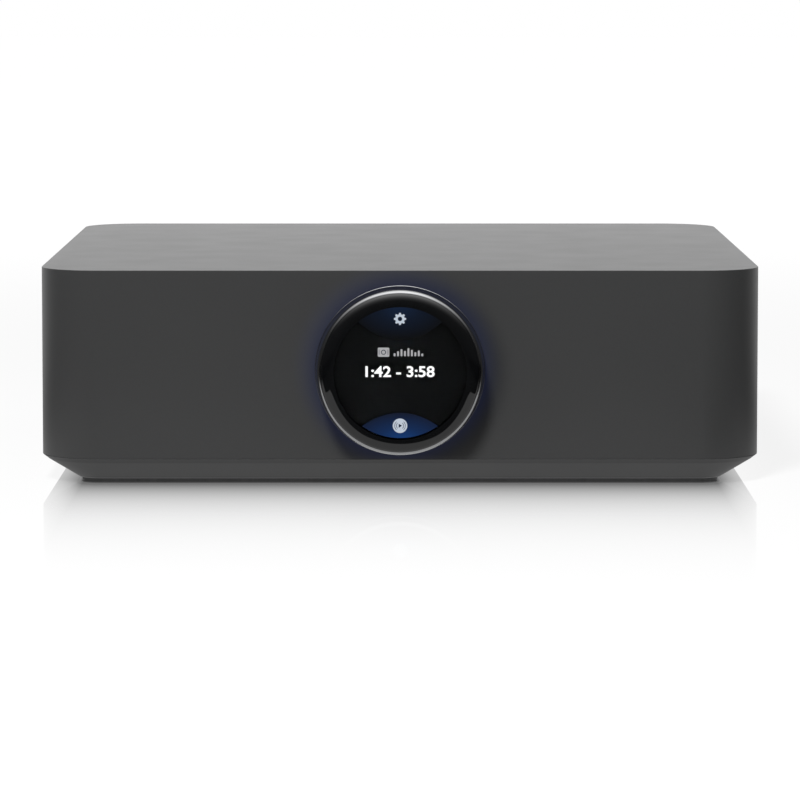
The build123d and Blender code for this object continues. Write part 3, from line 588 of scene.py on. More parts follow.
FINISHES = {
    "case_metal": case_metal,
    "tray_metal": tray_metal,
    "foot_rubber": foot_rubber,
    "steel": zinc_steel,
    "panel_coat": panel_coat,
    "ring_metal": ring_metal,
    "dial_glass": cover_glass_edge,
    "dial_window": cover_glass_window,
    "display_black": screen_black,
    "upper_field": upper_field,
    "lower_field": lower_field,
    "sign_white": lambda: lit_sign("sign_white", (1.0, 1.0, 1.0), 1.1),
    "sign_grey": lambda: lit_sign("sign_grey", (0.42, 0.42, 0.43)),
    "sign_pale": lambda: lit_sign("sign_pale", (0.52, 0.58, 0.66)),
    "sign_dark": lambda: lit_sign("sign_dark", (0.01, 0.015, 0.04)),
    "black_plastic": lambda: moulded_plastic("black_plastic", (0.020, 0.020, 0.021)),
    "white_plastic": lambda: moulded_plastic("white_plastic", (0.62, 0.62, 0.60)),
    "phono_plastic": phono_colours,
    "red_plastic": lambda: gloss_plastic("red_plastic", chosen().colours.cap_red),
    "cap_black": lambda: gloss_plastic("cap_black", chosen().colours.cap_black),
    "light_guide": light_guide,
    "gold_plate": lambda: plated_metal("gold_plate", chosen().colours.gold),
    "bright_metal": lambda: plated_metal("bright_metal", (0.66, 0.66, 0.67), 0.24),
    "circuit_board": circuit_board,
    "ribbon_film": ribbon_film,
    "ferrite": ferrite,
    "coil_tape": coil_tape,
    "capacitor_sleeve": capacitor_sleeve,
    "sink_metal": sink_metal,
}


def finish(name):
    """The material of that name, made the first time it is asked for."""
    for material in bpy.data.materials:
        if material.get("finish") == name:
            return material
    made = FINISHES[name]().material
    made["finish"] = name
    return made


# Shapes

ROUND_STEPS = 256
CASE_STEPS = 40
TRAY_STEPS = 32
SMALL_STEPS = 3


def rounded_loop(width, depth, radius, steps):
    """Points round a rounded rectangle, anticlockwise."""
    points = []
    for quarter, (right, up) in enumerate(((1, 1), (-1, 1), (-1, -1), (1, -1))):
        for step in range(steps + 1):
            turn = math.pi / 2 * (quarter + step / steps)
            points.append((right * (width / 2 - radius) + radius * math.cos(turn),
                           up * (depth / 2 - radius) + radius * math.sin(turn)))
    return points


def round_loop(radii):
    """Points at even turns round the middle, each at its own radius."""
    turns = [2 * math.pi * i / len(radii) for i in range(len(radii))]
    return [(radius * math.cos(turn), radius * math.sin(turn)) for radius, turn in zip(radii, turns)]


def case_loop(corner, inset, z, steps):
    """The case's outline at this height, drawn in by the inset."""
    width, depth = case_high.x - case_low.x, case_high.y - case_low.y
    points = rounded_loop(width - 2 * inset, depth - 2 * inset, max(corner - inset, 3 * MM), steps)
    return [(x, y, z) for x, y in points]


def moved(points, across, up):
    return [(a + across, b + up) for a, b in points]


def arc(centre, width, height, start, end, steps):
    """Points on an ellipse of this half width and half height, between two turns from straight up."""
    turns = [start + (end - start) * i / steps for i in range(steps + 1)]
    return [(centre[0] + width * math.sin(turn), centre[1] + height * math.cos(turn)) for turn in turns]


def quarter_turns(steps):
    return [math.pi / 2 * i / steps for i in range(steps + 1)]


def eased(outline):
    """An outline of (a, b, radius) corners, each rounded by its radius."""
    steps = 5
    points = []
    for i, (a, b, radius) in enumerate(outline):
        corner = Vector((a, b))
        if not radius:
            points.append((a, b))
            continue
        back = Vector(outline[i - 1][:2]) - corner
        on = Vector(outline[(i + 1) % len(outline)][:2]) - corner
        run = min(radius / math.tan(back.angle(on) / 2), 0.49 * back.length, 0.49 * on.length)
        start, end = corner + back.normalized() * run, corner + on.normalized() * run
        for step in range(steps + 1):
            t = step / steps
            points.append(tuple(start * (1 - t) ** 2 + corner * 2 * t * (1 - t) + end * t ** 2))
    return points


def skin(bm, loops, closed=False):
    """Faces between loops of equally many points. An open skin gets a cap at each end."""
    rings = [[bm.verts.new(point) for point in loop] for loop in loops]
    for first, second in list(zip(rings, rings[1:])) + ([(rings[-1], rings[0])] if closed else []):
        for i in range(len(first)):
            j = (i + 1) % len(first)
            bm.faces.new((first[i], first[j], second[j], second[i]))
    if not closed:
        bm.faces.new(rings[0][::-1])
        bm.faces.new(rings[-1])


def turned(bm, outline, height):
    """Revolves an outline of (radius, y) about the front-to-back line at this height."""
    rings = []
    for radius, y in outline:
        points = moved(round_loop([radius] * ROUND_STEPS), 0.0, height) if radius else [(0.0, height)]
        rings.append([bm.verts.new((x, y, z)) for x, z in points])
    for first, second in zip(rings, rings[1:] + rings[:1]):
        if len(first) == len(second) == 1:
            continue
        for i in range(ROUND_STEPS):
            j = (i + 1) % ROUND_STEPS
            ends = ((first, i), (first, j), (second, j), (second, i))
            corners = dict.fromkeys(ring[k % len(ring)] for ring, k in ends)
            bm.faces.new(list(corners))


def slab(bm, outline, front, back, hole=None):
    """A flat piece upright across the object. The outline is of (x, z), and a hole has as many points."""
    loops = [[(x, y, z) for x, z in outline] for y in (front, back)]
    if hole:
        loops += [[(x, y, z) for x, z in hole] for y in (back, front)]
    skin(bm, loops, closed=bool(hole))


def pillar(bm, outline, bottom, top):
    """An upright solid over an outline of (x, y)."""
    skin(bm, [[(x, y, z) for x, y in outline] for z in (bottom, top)])


def screw_head(bm, place, radius, height, across):
    """A round screw head with a six-sided recess, which points backwards from its place."""
    steps, side = 24, math.pi / 3
    angles = [(2 * math.pi * i / steps + side / 2) % side - side / 2 for i in range(steps)]
    hexagon = round_loop([across / 2 / math.cos(angle) for angle in angles])
    loops = [[(a, b, level * height) for a, b in round_loop([share * radius] * steps)]
             for share, level in ((1, 0), (1, 0.35), (0.93, 0.7), (0.8, 0.92), (0.62, 1))]
    loops += [[(share * a, share * b, level * height) for a, b in hexagon]
              for share, level in ((1.06, 1), (1, 0.92), (1, 0.3))]
    pose = Matrix.Translation(place) @ Matrix.Rotation(-math.pi / 2, 4, "X")
    skin(bm, [[pose @ Vector(point) for point in loop] for loop in loops])


def shape(maker, *details):
    """A new mesh with the one solid that the maker makes of these details."""
    bm = bmesh.new()
    maker(bm, *details)
    return bm


def linked(name, bm):
    """An object in the scene with this mesh, which is used up."""
    mesh = bpy.data.meshes.new(name)
    bm.to_mesh(mesh)
    bm.free()
    made = bpy.data.objects.new(name, mesh)
    bpy.context.scene.collection.objects.link(made)
    return made


def shade(mesh, degrees):
    """Shades a mesh smooth, apart from the edges that are sharper than this."""
    mesh.shade_smooth()
    mesh.set_sharp_from_angle(angle=math.radians(degrees))


def piece(name, bm, material, slot, body="chassis", stands_for=(), smooth=30):
    """Makes a named piece of the mesh, gives it its finish and lets it ride on its body."""
    bmesh.ops.recalc_face_normals(bm, faces=bm.faces)
    made = linked(name, bm)
    made.data.materials.append(finish(material))
    shade(made.data, smooth)
    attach(made, body)
    if stands_for:
        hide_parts(*stands_for)
    return made


def cut(target, *shapes):
    """Takes these shapes out of the target mesh object."""
    tools = []
    for bm in shapes:
        bmesh.ops.recalc_face_normals(bm, faces=bm.faces)
        tools.append(linked("cutter", bm))
        modifier = target.modifiers.new("cut", "BOOLEAN")
        modifier.operation = "DIFFERENCE"
        modifier.solver = "EXACT"
        modifier.object = tools[-1]
    depsgraph = bpy.context.evaluated_depsgraph_get()
    mesh = bpy.data.meshes.new_from_object(target.evaluated_get(depsgraph))
    target.modifiers.clear()
    old = target.data
    target.data = mesh
    for spent in (old, *[tool.data for tool in tools]):
        bpy.data.meshes.remove(spent)
    mesh.name = target.name
    shade(mesh, 25)


def smoothing():
    """A modifier's node group that joins a CAD node's facets and shades its curved faces smooth."""
    group = bpy.data.node_groups.get("smooth_facets")
    if group:
        return group
    group = bpy.data.node_groups.new("smooth_facets", "GeometryNodeTree")
    for way in ("INPUT", "OUTPUT"):
        group.interface.new_socket("Geometry", in_out=way, socket_type="NodeSocketGeometry")
    made = Nodes(group)
    faceted = made.add("NodeGroupInput").outputs[0]
    bare = made.add("GeometryNodeRemoveAttribute", {"Geometry": faceted, "Name": "custom_normal"}).outputs[0]
    joined = made.add("GeometryNodeMergeByDistance", {"Geometry": bare, "Distance": 0.001 * MM}).outputs[0]
    smooth = made.add("GeometryNodeSetShadeSmooth", {"Geometry": joined}, domain="FACE").outputs[0]
    angle = made.add("GeometryNodeInputMeshEdgeAngle").outputs["Unsigned Angle"]
    sharp = made.add("FunctionNodeCompare", {"A": angle, "B": math.radians(28)}, operation="GREATER_THAN")
    edged = made.add("GeometryNodeSetShadeSmooth", {"Geometry": smooth, "Selection": sharp.outputs[0],
                                                    "Shade Smooth": False}, domain="EDGE").outputs[0]
    made.add("NodeGroupOutput", {0: edged})
    return group


def dress(node, material, bevel):
    """Gives a CAD node its finish, smooth shading, and a fine bevel where its edges show."""
    made = frame["nodes"][node]
    for slot in made.material_slots:
        slot.material = finish(material)
    made.modifiers.new("smooth facets", "NODES").node_group = smoothing()
    if bevel:
        modifier = made.modifiers.new("edges", "BEVEL")
        modifier.width = bevel
        modifier.segments = 2
        modifier.limit_method = "ANGLE"
        modifier.angle_limit = math.radians(40)


# Operators

class AMPLIFIER_OT_case(bpy.types.Operator):
    """Make the shell of the case, with its dial hole, rear pocket and columns"""

    bl_idname = "amplifier.case"
    bl_label = "Case shell"
    bl_options = {"REGISTER", "UNDO"}

    def execute(self, context):
        settings = context.scene.amplifier
        case, tray = settings.case, settings.tray
        top, bottom = case_high.z, case_low.z - case.seam_drop
        ceiling, rear_wall = top - case.wall, REAR - case.wall

        def loop(inset, z):
            return case_loop(case.corner, inset, z, CASE_STEPS)

        loops = [loop(case.seam * (1 - math.sin(t)), bottom + case.seam * (1 - math.cos(t)))
                 for t in quarter_turns(3)]
        loops += [loop(case.edge * (1 - math.cos(t)), top - case.edge * (1 - math.sin(t)))
                  for t in quarter_turns(8)]
        shell = piece("case_shell", shape(skin, loops), "case_metal", "case_metal", stands_for=["upper_case"])

        past, hole_depth, pocket_cut = 2 * MM, 8 * MM, 20 * MM
        round_hole = moved(round_loop([case.dial_hole] * 160), 0.0, settings.dial.height)
        pocket, around = (moved(rounded_loop(case.pocket_width + 2 * more, case.pocket_height + 2 * more,
                                             case.pocket_corner + more, 10), 0.0, case.pocket_middle)
                          for more in (0.0, case.pocket_frame))
        cut(shell,
            shape(skin, [loop(case.wall, bottom - past), loop(case.wall, ceiling)]),
            shape(slab, round_hole, FRONT - past, FRONT + hole_depth),
            shape(slab, pocket, REAR - pocket_cut, REAR + past))
        piece("pocket_frame", shape(slab, around, rear_wall - case.pocket_depth, rear_wall, pocket),
              "case_metal", "case_metal", stands_for=["upper_case"])

        bm = bmesh.new()
        foot = rounded_loop(case.column_side, case.column_side, 1 * MM, SMALL_STEPS)
        place = case_high.x - tray.pillar_inset
        for right, back in CORNERS:
            pillar(bm, moved(foot, right * place, back * place), tray.pillar_top, ceiling)
        piece("case_columns", bm, "case_metal", "case_metal", stands_for=["upper_case"])
        return {"FINISHED"}


class AMPLIFIER_OT_tray(bpy.types.Operator):
    """Make the tray with its sloping band, bevel, foot groove, vents and board posts"""

    bl_idname = "amplifier.tray"
    bl_label = "Tray"
    bl_options = {"REGISTER", "UNDO"}

    def execute(self, context):
        settings = context.scene.amplifier
        tray = settings.tray
        profile = [(tray.well_inset, tray.floor), (tray.well_inset, tray.top), (tray.tongue_inner, tray.top),
                   (tray.tongue_inner, tray.tongue_top), (tray.tongue_outer, tray.tongue_top),
                   (tray.tongue_outer, tray.top), (0.12 * MM, tray.top), (0.02 * MM, tray.top - 0.08 * MM),
                   (tray.band_inset - 0.1 * MM, tray.band_foot + 0.1 * MM),
                   (tray.band_inset + 0.12 * MM, tray.band_foot - 0.1 * MM),
                   (tray.bevel_inset - 0.15 * MM, tray.underside + 0.12 * MM),
                   (tray.bevel_inset + 0.05 * MM, tray.underside), (tray.groove_outer, tray.underside),
                   (tray.groove_outer, tray.groove_top), (tray.groove_inner, tray.groove_top),
                   (tray.groove_inner, tray.underside)]
        loops = [case_loop(settings.case.corner, inset, z, TRAY_STEPS) for inset, z in profile]
        made = piece("tray", shape(skin, loops), "tray_metal", "tray_metal", stands_for=["base_tray"])

        past = 1 * MM
        vent = rounded_loop(tray.vent_width, tray.vent_length, 0.4 * MM, SMALL_STEPS)
        vents = bmesh.new()
        for board in ("power_board", "amp_board"):
            low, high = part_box(board)
            middle = (low + high) / 2
            for step in range(-2, 3):
                slot = moved(vent, middle.x + step * tray.vent_pitch, middle.y)
                pillar(vents, slot, 0.0, tray.floor + past)
        tongue = tray.tongue_inner - tray.tongue_outer
        notch = moved(rounded_loop(tray.notch_width, 2 * tongue, 0.5 * MM, SMALL_STEPS),
                      0.0, FRONT + tray.tongue_outer + tongue / 2)
        cut(made, vents, shape(pillar, notch, tray.top, tray.tongue_top + past))

        bm = bmesh.new()
        posts = [(right * (case_high.x - tray.pillar_inset), back * (REAR - tray.pillar_inset),
                  tray.pillar_side, tray.pillar_top) for right, back in CORNERS]
        for board, clear in (("power_board", 0.0), ("amp_board", 0.0), ("main_board", tray.socket_clear)):
            low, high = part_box(board)
            posts += [(x, y, tray.post_side, low.z)
                      for x in (low.x + tray.post_inset, high.x - tray.post_inset)
                      for y in (low.y + tray.post_inset, high.y - clear - tray.post_inset)]
        for x, y, side, top in posts:
            pillar(bm, moved(rounded_loop(side, side, 0.6 * MM, SMALL_STEPS), x, y), tray.floor, top)
        piece("tray_posts", bm, "tray_metal", "tray_metal", stands_for=["base_tray"])
        return {"FINISHED"}


class AMPLIFIER_OT_dial(bpy.types.Operator):
    """Make the volume ring and the cover glass with its curved edge"""

    bl_idname = "amplifier.dial"
    bl_label = "Dial"
    bl_options = {"REGISTER", "UNDO"}

    def execute(self, context):
        dial = context.scene.amplifier.dial

        def round_piece(name, outline, material, **details):
            """A piece turned about the dial's axis from an outline of (radius, reach before the case)."""
            bm = shape(turned, [(radius, FRONT - reach) for radius, reach in outline], dial.height)
            return piece(name, bm, material, material, smooth=40, **details)

        taper, chamfer = 0.1 * MM, 0.13 * MM
        lip_edge = dial.lip_gap + 0.3 * MM
        rim_foot = dial.ring_reach - dial.rim_round
        outline = eased([(dial.sleeve_bore, dial.ring_step, 0.15 * MM),
                         (dial.sleeve_bore, -dial.ring_tail, 0.1 * MM),
                         (dial.sleeve_radius - taper, -dial.ring_tail, 0.2 * MM),
                         (dial.sleeve_radius, dial.lip_gap, 0.15 * MM),
                         (dial.ring_radius, dial.lip_gap, 0.1 * MM),
                         (dial.ring_radius, lip_edge, 0.1 * MM),
                         (dial.ring_radius - chamfer, lip_edge + chamfer, 0.05 * MM),
                         (dial.rim_radius, rim_foot, 0.0)])
        middle = dial.rim_bore - 0.3 * MM
        width = dial.rim_radius - middle
        end = math.asin((dial.rim_bore + 0.04 * MM - middle) / width)
        outline += arc((middle, rim_foot), width, dial.rim_round, math.pi / 2, end, 20)[1:]
        outline += [(dial.rim_bore, dial.ring_reach - 0.1 * MM), (dial.rim_bore, dial.ring_step)]
        round_piece("volume_dial", outline, "ring_metal", body="dial", stands_for=["volume_ring"])

        back = dial.glass_reach - dial.glass_thickness
        shoulder = back + dial.glass_edge
        chamfer = 0.15 * MM
        width = dial.glass_curve - dial.glass_flat
        end = math.asin((dial.glass_radius - dial.glass_flat) / width)
        outline = [(0.0, back), (dial.glass_flat, back), (dial.glass_radius - chamfer, back),
                   (dial.glass_radius, back + chamfer)]
        outline += arc((dial.glass_flat, shoulder), width, dial.glass_reach - shoulder, end, 0.0, 32)
        outline.append((0.0, dial.glass_reach))
        glass = round_piece("dial_glass", outline, "dial_glass", stands_for=["cover_glass"]).data
        glass.materials.append(finish("dial_window"))
        for face in glass.polygons:
            corners = [glass.vertices[v].co for v in face.vertices]
            if max(math.hypot(co.x, co.z - dial.height) for co in corners) < dial.glass_flat + 0.01 * MM:
                face.material_index = 1
        return {"FINISHED"}


class AMPLIFIER_OT_screen(bpy.types.Operator):
    """Draw what the display shows: two blue fields, a track's time, a level row and three signs"""

    bl_idname = "amplifier.screen"
    bl_label = "Display"
    bl_options = {"REGISTER", "UNDO"}

    layer = 0.03 * MM
    film = 0.02 * MM

    def draw_flat(self, name, look, layer, *shapes):
        """A thin piece in a layer before the display. A shape is an outline and perhaps its hole."""
        front = FRONT - chosen().dial.screen_reach - layer * self.layer
        bm = bmesh.new()
        for outline, *hole in shapes:
            slab(bm, outline, front, front + self.film, *hole)
        piece(name, bm, look, "display_black")

    def execute(self, context):
        height = chosen().dial.height
        self.fields(height)
        self.settings_sign(0.0, height + 15.9 * MM)
        self.play_sign(0.0, height - 15.75 * MM)
        self.source_sign(-4.85 * MM, height + 6.05 * MM)
        self.level_row(-1.6 * MM, height + 4.85 * MM)
        self.track_time(context, height - 1.35 * MM)
        return {"FINISHED"}

    def fields(self, height):
        """Two lenses, each between the display's rim and a flatter arc that crosses the display."""
        radius = chosen().dial.screen_radius

        def rim(x):
            return math.sqrt(radius ** 2 - x ** 2)

        steps = 48
        for name, side, middle, half in (("upper_field", 1, 9.6 * MM, 12.4 * MM),
                                         ("lower_field", -1, 11.9 * MM, 11.2 * MM)):
            xs = [half * (2 * i / steps - 1) for i in range(steps + 1)]
            lens = [(x, side * (middle + (rim(half) - middle) * (x / half) ** 2)) for x in xs]
            lens += [(x, side * rim(x)) for x in reversed(xs[1:-1])]
            self.draw_flat(name, name, 1, (moved(lens, 0.0, height),))

    def settings_sign(self, x, z):
        """A toothed wheel."""
        steps, teeth = 96, 8
        swells = [math.tanh(6 * math.cos(2 * math.pi * teeth * i / steps)) for i in range(steps)]
        wheel = round_loop([(1.59 + 0.21 * swell) * MM for swell in swells])
        eye = round_loop([0.65 * MM] * steps)
        self.draw_flat("settings_sign", "sign_pale", 2, (moved(wheel, x, z), moved(eye, x, z)))

    def play_sign(self, x, z):
        """A triangle between two pairs of bows, on a disc."""
        disc = moved(round_loop([2.15 * MM] * 64), x, z)
        self.draw_flat("play_disc", "sign_pale", 2, (disc,))
        shapes = [(moved([(0.6 * MM, 0.0), (-0.38 * MM, 0.6 * MM), (-0.38 * MM, -0.6 * MM)], x, z),)]
        for inner in (0.98 * MM, 1.5 * MM):
            outer = inner + 0.15 * MM
            for side in (1, -1):
                start, end = math.radians(42 * side), math.radians(138 * side)
                shapes.append((arc((x, z), inner, inner, start, end, 12)
                               + arc((x, z), outer, outer, end, start, 12),))
        self.draw_flat("play_sign", "sign_dark", 3, *shapes)

    def source_sign(self, x, z):
        """A small box with a ring between two bars."""
        box = moved(rounded_loop(3.4 * MM, 2.7 * MM, 0.35 * MM, 6), x, z)
        self.draw_flat("source_sign", "sign_grey", 2, (box,))
        ring, eye = (moved(round_loop([radius] * 40), x, z) for radius in (0.75 * MM, 0.5 * MM))
        bar = [(right * 0.08 * MM, up * 0.75 * MM) for right, up in ((-1, -1), (1, -1), (1, 1), (-1, 1))]
        bars = [(moved(bar, x + side * 1.3 * MM, z),) for side in (1, -1)]
        self.draw_flat("source_mark", "sign_dark", 3, (ring, eye), *bars)

    def level_row(self, x, z):
        """Upright bars of different heights, the first of them at x."""
        bars = []
        for i, tall in enumerate((0.9, 1.5, 2.1, 1.6, 2.4, 1.9, 1.2, 1.7, 0.8)):
            bar = rounded_loop(0.55 * MM, tall * MM, 0.2 * MM, 4)
            bars.append((moved(bar, x + i * 1.02 * MM, z + tall * MM / 2),))
        self.draw_flat("level_row", "sign_grey", 2, *bars)

    def track_time(self, context, foot):
        """The time played and the whole time, in figures that stand at the height of foot."""
        curve = bpy.data.curves.new("track_time", "FONT")
        curve.body = "1:42 - 3:58"
        curve.align_x = "CENTER"
        curve.size = 1.0
        curve.offset = 0.022
        curve.extrude = 0.01
        curve.resolution_u = 6
        words = bpy.data.objects.new("track_time_text", curve)
        context.scene.collection.objects.link(words)
        depsgraph = context.evaluated_depsgraph_get()
        mesh = bpy.data.meshes.new_from_object(words.evaluated_get(depsgraph))
        bpy.data.objects.remove(words)
        bpy.data.curves.remove(curve)
        xs, ys = [v.co.x for v in mesh.vertices], [v.co.y for v in mesh.vertices]
        wide, tall = 20.4 * MM, 3.3 * MM
        face = FRONT - chosen().dial.screen_reach - 0.05 * MM
        for v in mesh.vertices:
            x = (v.co.x - (min(xs) + max(xs)) / 2) * wide / (max(xs) - min(xs))
            z = (v.co.y - min(ys)) * tall / (max(ys) - min(ys))
            v.co = (x, face - v.co.z * MM, foot + z)
        bm = bmesh.new()
        bm.from_mesh(mesh)
        bpy.data.meshes.remove(mesh)
        bmesh.ops.remove_doubles(bm, verts=bm.verts, dist=0.0005 * MM)
        piece("track_time", bm, "sign_white", "display_black")


class AMPLIFIER_OT_rear(bpy.types.Operator):
    """Make the ribbed speaker caps and the panel's screws"""

    bl_idname = "amplifier.rear"
    bl_label = "Rear fittings"
    bl_options = {"REGISTER", "UNDO"}

    def execute(self, context):
        settings = context.scene.amplifier
        rear = settings.rear
        for k, cap in enumerate(CAPS, 1):
            self.speaker_cap(rear, k, cap)
        bm = bmesh.new()
        for right, up in CORNERS:
            place = Vector((right * rear.screw_x, PANEL, settings.case.pocket_middle + up * rear.screw_z))
            screw_head(bm, place, rear.screw_head, rear.screw_height, rear.screw_recess)
        piece("panel_screws", bm, "steel", "steel", smooth=35)
        return {"FINISHED"}

    def speaker_cap(self, rear, k, cap):
        """A cap with ribs round its outside and a bore that is narrow at its foot."""
        low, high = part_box(cap)
        x, z = (low.x + high.x) / 2, (low.z + high.z) / 2
        start, end = low.y, high.y
        per_rib = 10
        waves = [math.cos(2 * math.pi * i / per_rib) for i in range(rear.cap_ribs * per_rib)]

        def loop(radius, y, ribbed):
            radii = [radius - ribbed * rear.cap_groove * max(0.0, wave) ** 0.6 for wave in waves]
            return [(a, y, b) for a, b in moved(round_loop(radii), x, z)]

        radius = rear.cap_radius
        ease = 0.2 * MM
        levels = [(radius - 0.7 * MM, start, 0.0), (radius - 0.25 * MM, start + 0.15 * MM, 0.0),
                  (radius, start + 0.5 * MM, 0.0), (radius, start + 1.3 * MM, 0.0),
                  (radius, start + 1.7 * MM, 1.0), (radius, end - 2.2 * MM, 1.0),
                  (radius - 0.35 * MM, end - 1.1 * MM, 1.0), (radius - 0.9 * MM, end - 0.6 * MM, 0.3),
                  (radius - 1.3 * MM, end - 0.15 * MM, 0.0), (radius - 1.7 * MM, end, 0.0),
                  (rear.cap_bore + ease, end, 0.0), (rear.cap_bore, end - ease, 0.0),
                  (rear.cap_bore, start + rear.cap_foot, 0.0), (rear.cap_mouth, start + rear.cap_foot, 0.0),
                  (rear.cap_mouth, start + ease, 0.0), (rear.cap_mouth + ease, start, 0.0)]
        slot = SLOTS[cap]
        piece(f"speaker_cap_{k}", shape(skin, [loop(*level) for level in levels], True),
              "red_plastic" if slot == "red_plastic" else "cap_black", slot,
              body=f"cap_{k}", stands_for=[cap], smooth=35)


class AMPLIFIER_OT_finishes(bpy.types.Operator):
    """Give each piece that keeps its solid its finish and fine edges"""

    bl_idname = "amplifier.finishes"
    bl_label = "Finishes"
    bl_options = {"REGISTER", "UNDO"}

    special = {"phono_inserts": "phono_plastic"}
    bevels = {"rear_panel": 0.25 * MM, "post_plates": 0.3 * MM, "mains_inlet": 0.4 * MM,
              "network_socket": 0.25 * MM, "optical_socket": 0.25 * MM, "reset_button": 0.15 * MM}

    def execute(self, context):
        for node, slot in SLOTS.items():
            if node not in REMADE:
                dress(node, self.special.get(node, slot), self.bevels.get(node, 0.0))
        return {"FINISHED"}


class AMPLIFIER_OT_stage(bpy.types.Operator):
    """Set up the mirror-bright white floor, the soft studio light and the camera"""

    bl_idname = "amplifier.stage"
    bl_label = "Stage"
    bl_options = {"REGISTER", "UNDO"}

    def execute(self, context):
        self.floor()
        self.world(context)
        self.lamps(context)
        self.camera(context)
        context.scene.view_settings.view_transform = "Standard"
        return {"FINISHED"}

    def floor(self):
        """White, a mirror near the foot, and with light of its own for each kind of ray."""
        bm = bmesh.new()
        bmesh.ops.create_grid(bm, x_segments=8, y_segments=8, size=6.0)
        floor = linked("floor", bm)
        made = Finish("floor_white", (0.85, 0.85, 0.85), 0.9)
        x, y, z = made.axes()
        across, along = made.calc("ABSOLUTE", x), made.calc("ABSOLUTE", y)
        path = made.add("ShaderNodeLightPath").outputs
        glossy_ray, diffuse_ray = path["Is Glossy Ray"], path["Is Diffuse Ray"]

        def past(place, edge):
            """How far a place lies beyond an edge, and 0 before it."""
            return made.calc("MAXIMUM", made.minus(place, edge), 0.0)

        def fading(distance, length):
            """1 at no distance, and less by the same share over each further length."""
            return made.calc("EXPONENT", made.calc("DIVIDE", distance, -length))

        # The mirror for the camera fades with the distance from the foot, whose corners are round.
        corner, full = 6.2 * MM, 2.6 * MM
        gap = made.distance(past(across, foot_high.x - corner), past(along, foot_high.y - corner))
        mirror = made.times(fading(past(gap, corner + full), 44.5 * MM), path["Is Camera Ray"])
        mirror = made.times(mirror, fading(past(across, foot_high.x - 1 * MM), 11 * MM))

        # What glossy metal and glass find: dark in front of a bent line before the case, bright behind it.
        bend = made.times(made.span(across, 15 * MM, 70 * MM, 0.0, 95 * MM),
                          made.span(across, 80 * MM, 100 * MM, 1.0, 0.0))
        line = made.plus(made.minus(y, made.times(x, 0.16)), bend)
        behind = made.span(y, -40 * MM, 100 * MM, 0.0, 1.0)
        beside = made.calc("MAXIMUM", made.span(across, 112 * MM, 220 * MM, 1.0, 0.04), behind)
        bright = made.times(made.span(line, -150 * MM, -144 * MM, 0.04, 0.85), beside)

        # What matt surfaces find: little under the case and far to its sides.
        under = made.calc("MAXIMUM", across, along)
        below = made.times(made.span(under, 50 * MM, 170 * MM, 0.17, 0.97),
                           made.span(across, 100 * MM, 260 * MM, 1.0, 0.3))

        # What the camera sees.
        seen = made.span(made.distance(x, y), 250 * MM, 1200 * MM, 0.86, 0.97)
        other_ray = made.minus(made.minus(1.0, glossy_ray), diffuse_ray)
        light = made.plus(made.times(glossy_ray, bright),
                          made.plus(made.times(diffuse_ray, below), made.times(other_ray, seen)))
        shine = made.add("ShaderNodeEmission", {"Color": (1, 1, 1, 1), "Strength": light})
        dull = made.blend(glossy_ray, (0.07, 0.07, 0.07), BLACK)
        matt = made.add("ShaderNodeBsdfDiffuse", {"Color": dull})
        plain = made.add("ShaderNodeAddShader", {0: shine.outputs[0], 1: matt.outputs[0]})
        polished = made.add("ShaderNodeBsdfGlossy", {"Color": (0.97, 0.97, 0.97, 1), "Roughness": 0.0})
        mixed = made.add("ShaderNodeMixShader", {0: mirror, 1: plain.outputs[0], 2: polished.outputs[0]})
        made.tree.links.new(mixed.outputs[0], made.tree.nodes["Material Output"].inputs["Surface"])
        made.tree.nodes.remove(made.shader)
        floor.data.materials.append(made.material)

    def world(self, context):
        """White for the camera. Reflections find light that grows upwards, and more of it behind the case."""
        world = bpy.data.worlds.new("studio")
        context.scene.world = world
        world.use_nodes = True
        made = Nodes(world.node_tree)
        made.tree.nodes.clear()
        way = made.add("ShaderNodeTexCoord").outputs["Generated"]
        x, y, z = made.add("ShaderNodeSeparateXYZ", {0: way}).outputs
        across = made.calc("ABSOLUTE", x)
        path = made.add("ShaderNodeLightPath").outputs

        # The strength by height for reflections. A ramp holds shades up to 1, so it gets a share of each.
        ramp_unit = 4.0
        stops = ((0.0, 0.04), (0.42, 0.08), (0.574, 0.32), (0.695, 0.68), (0.804, 1.28), (0.914, 2.26),
                 (0.995, 3.2))
        shades = made.ramp(z, [(height, [value / ramp_unit] * 3) for height, value in stops])
        ahead = made.times(made.add("ShaderNodeRGBToBW", {0: shades}).outputs[0], ramp_unit)
        back = made.calc("MAXIMUM", ahead, made.span(across, 0.35, 0.65, 1.38, 2.4))
        is_back = made.span(y, 0.5, 0.95, 0.0, 1.0)
        gloss = made.plus(made.times(ahead, made.minus(1.0, is_back)), made.times(back, is_back))
        is_gloss = made.times(path["Is Glossy Ray"], made.minus(1.0, path["Is Singular Ray"]))
        strength = made.plus(made.times(gloss, is_gloss), made.minus(1.0, is_gloss))

        # Matt surfaces find less light in front and at the sides.
        in_front = made.span(y, 0.0, 0.5, 0.85, 0.0)
        beside = made.span(across, 0.6, 0.95, 0.0, 0.8)
        dimmed = made.times(path["Is Diffuse Ray"], made.calc("MAXIMUM", in_front, beside))
        strength = made.times(strength, made.minus(1.0, dimmed))
        background = made.add("ShaderNodeBackground", {"Color": (1, 1, 1, 1), "Strength": strength})
        made.add("ShaderNodeOutputWorld", {"Surface": background.outputs[0]})

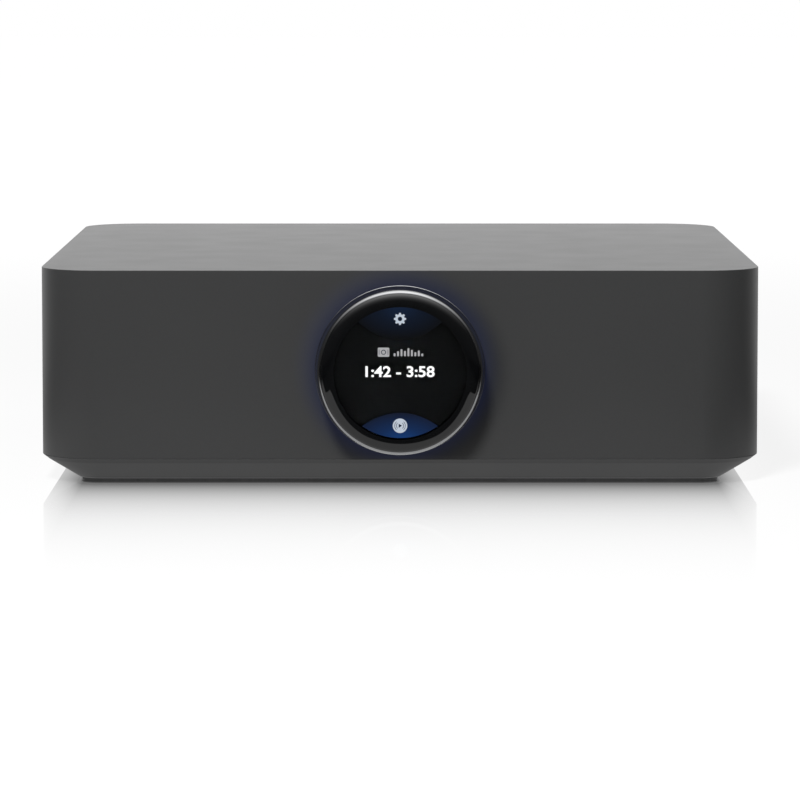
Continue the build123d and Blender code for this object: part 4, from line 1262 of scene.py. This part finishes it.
    def lamps(self, context):
        """A key lamp above the front and a weak fill lamp before it, both hidden from reflections."""
        target = Vector((0, 0, 0.03))
        for name, place, wide, power in (("key_lamp", (-0.3, -1.0, 1.18), 0.36, 42.5),
                                         ("fill_lamp", (0.1, -1.55, 0.3), 0.7, 0.8)):
            lamp = bpy.data.lights.new(name, "AREA")
            lamp.shape = "DISK"
            lamp.size = wide
            lamp.energy = power
            made = bpy.data.objects.new(name, lamp)
            made.location = place
            made.rotation_euler = (target - Vector(place)).to_track_quat("-Z", "Y").to_euler()
            made.visible_glossy = False
            made.visible_camera = False
            context.scene.collection.objects.link(made)

    def camera(self, context):
        """The photograph's view, fitted to the outline of the case in it."""
        data = bpy.data.cameras.new("photo_camera")
        data.sensor_width = 36.0
        data.lens = 193.05
        data.shift_y = -0.1278
        data.clip_end = 50.0
        made = bpy.data.objects.new("photo_camera", data)
        made.location = (0.0, -1.3739, 0.16048)
        made.rotation_euler = (math.radians(85.281), 0.0, 0.0)
        context.scene.collection.objects.link(made)
        context.scene.camera = made


class AMPLIFIER_PT_panel(bpy.types.Panel):
    """The amplifier's sizes, colours and making steps"""

    bl_idname = "AMPLIFIER_PT_panel"
    bl_label = "Amplifier"
    bl_space_type = "VIEW_3D"
    bl_region_type = "UI"
    bl_category = "Amplifier"

    def draw(self, context):
        settings = context.scene.amplifier
        for title in AmplifierSettings.__annotations__:
            group = getattr(settings, title)
            column = self.layout.box().column()
            column.label(text=title.capitalize())
            for name in group.__annotations__:
                column.prop(group, name)
        for operator in OPERATORS:
            self.layout.operator(operator.bl_idname)


OPERATORS = (AMPLIFIER_OT_case, AMPLIFIER_OT_tray, AMPLIFIER_OT_dial, AMPLIFIER_OT_screen, AMPLIFIER_OT_rear,
             AMPLIFIER_OT_finishes, AMPLIFIER_OT_stage)
CLASSES = (AmplifierCase, AmplifierTray, AmplifierDial, AmplifierRear, AmplifierColours, AmplifierSettings,
           *OPERATORS, AMPLIFIER_PT_panel)


def register():
    for made in CLASSES:
        bpy.utils.register_class(made)
    bpy.types.Scene.amplifier = bpy.props.PointerProperty(type=AmplifierSettings)


def unregister():
    del bpy.types.Scene.amplifier
    for made in reversed(CLASSES):
        bpy.utils.unregister_class(made)


def main():
    register()
    for operator in OPERATORS:
        getattr(bpy.ops.amplifier, operator.bl_idname.split(".")[1])()


if __name__ == "__main__":
    main()
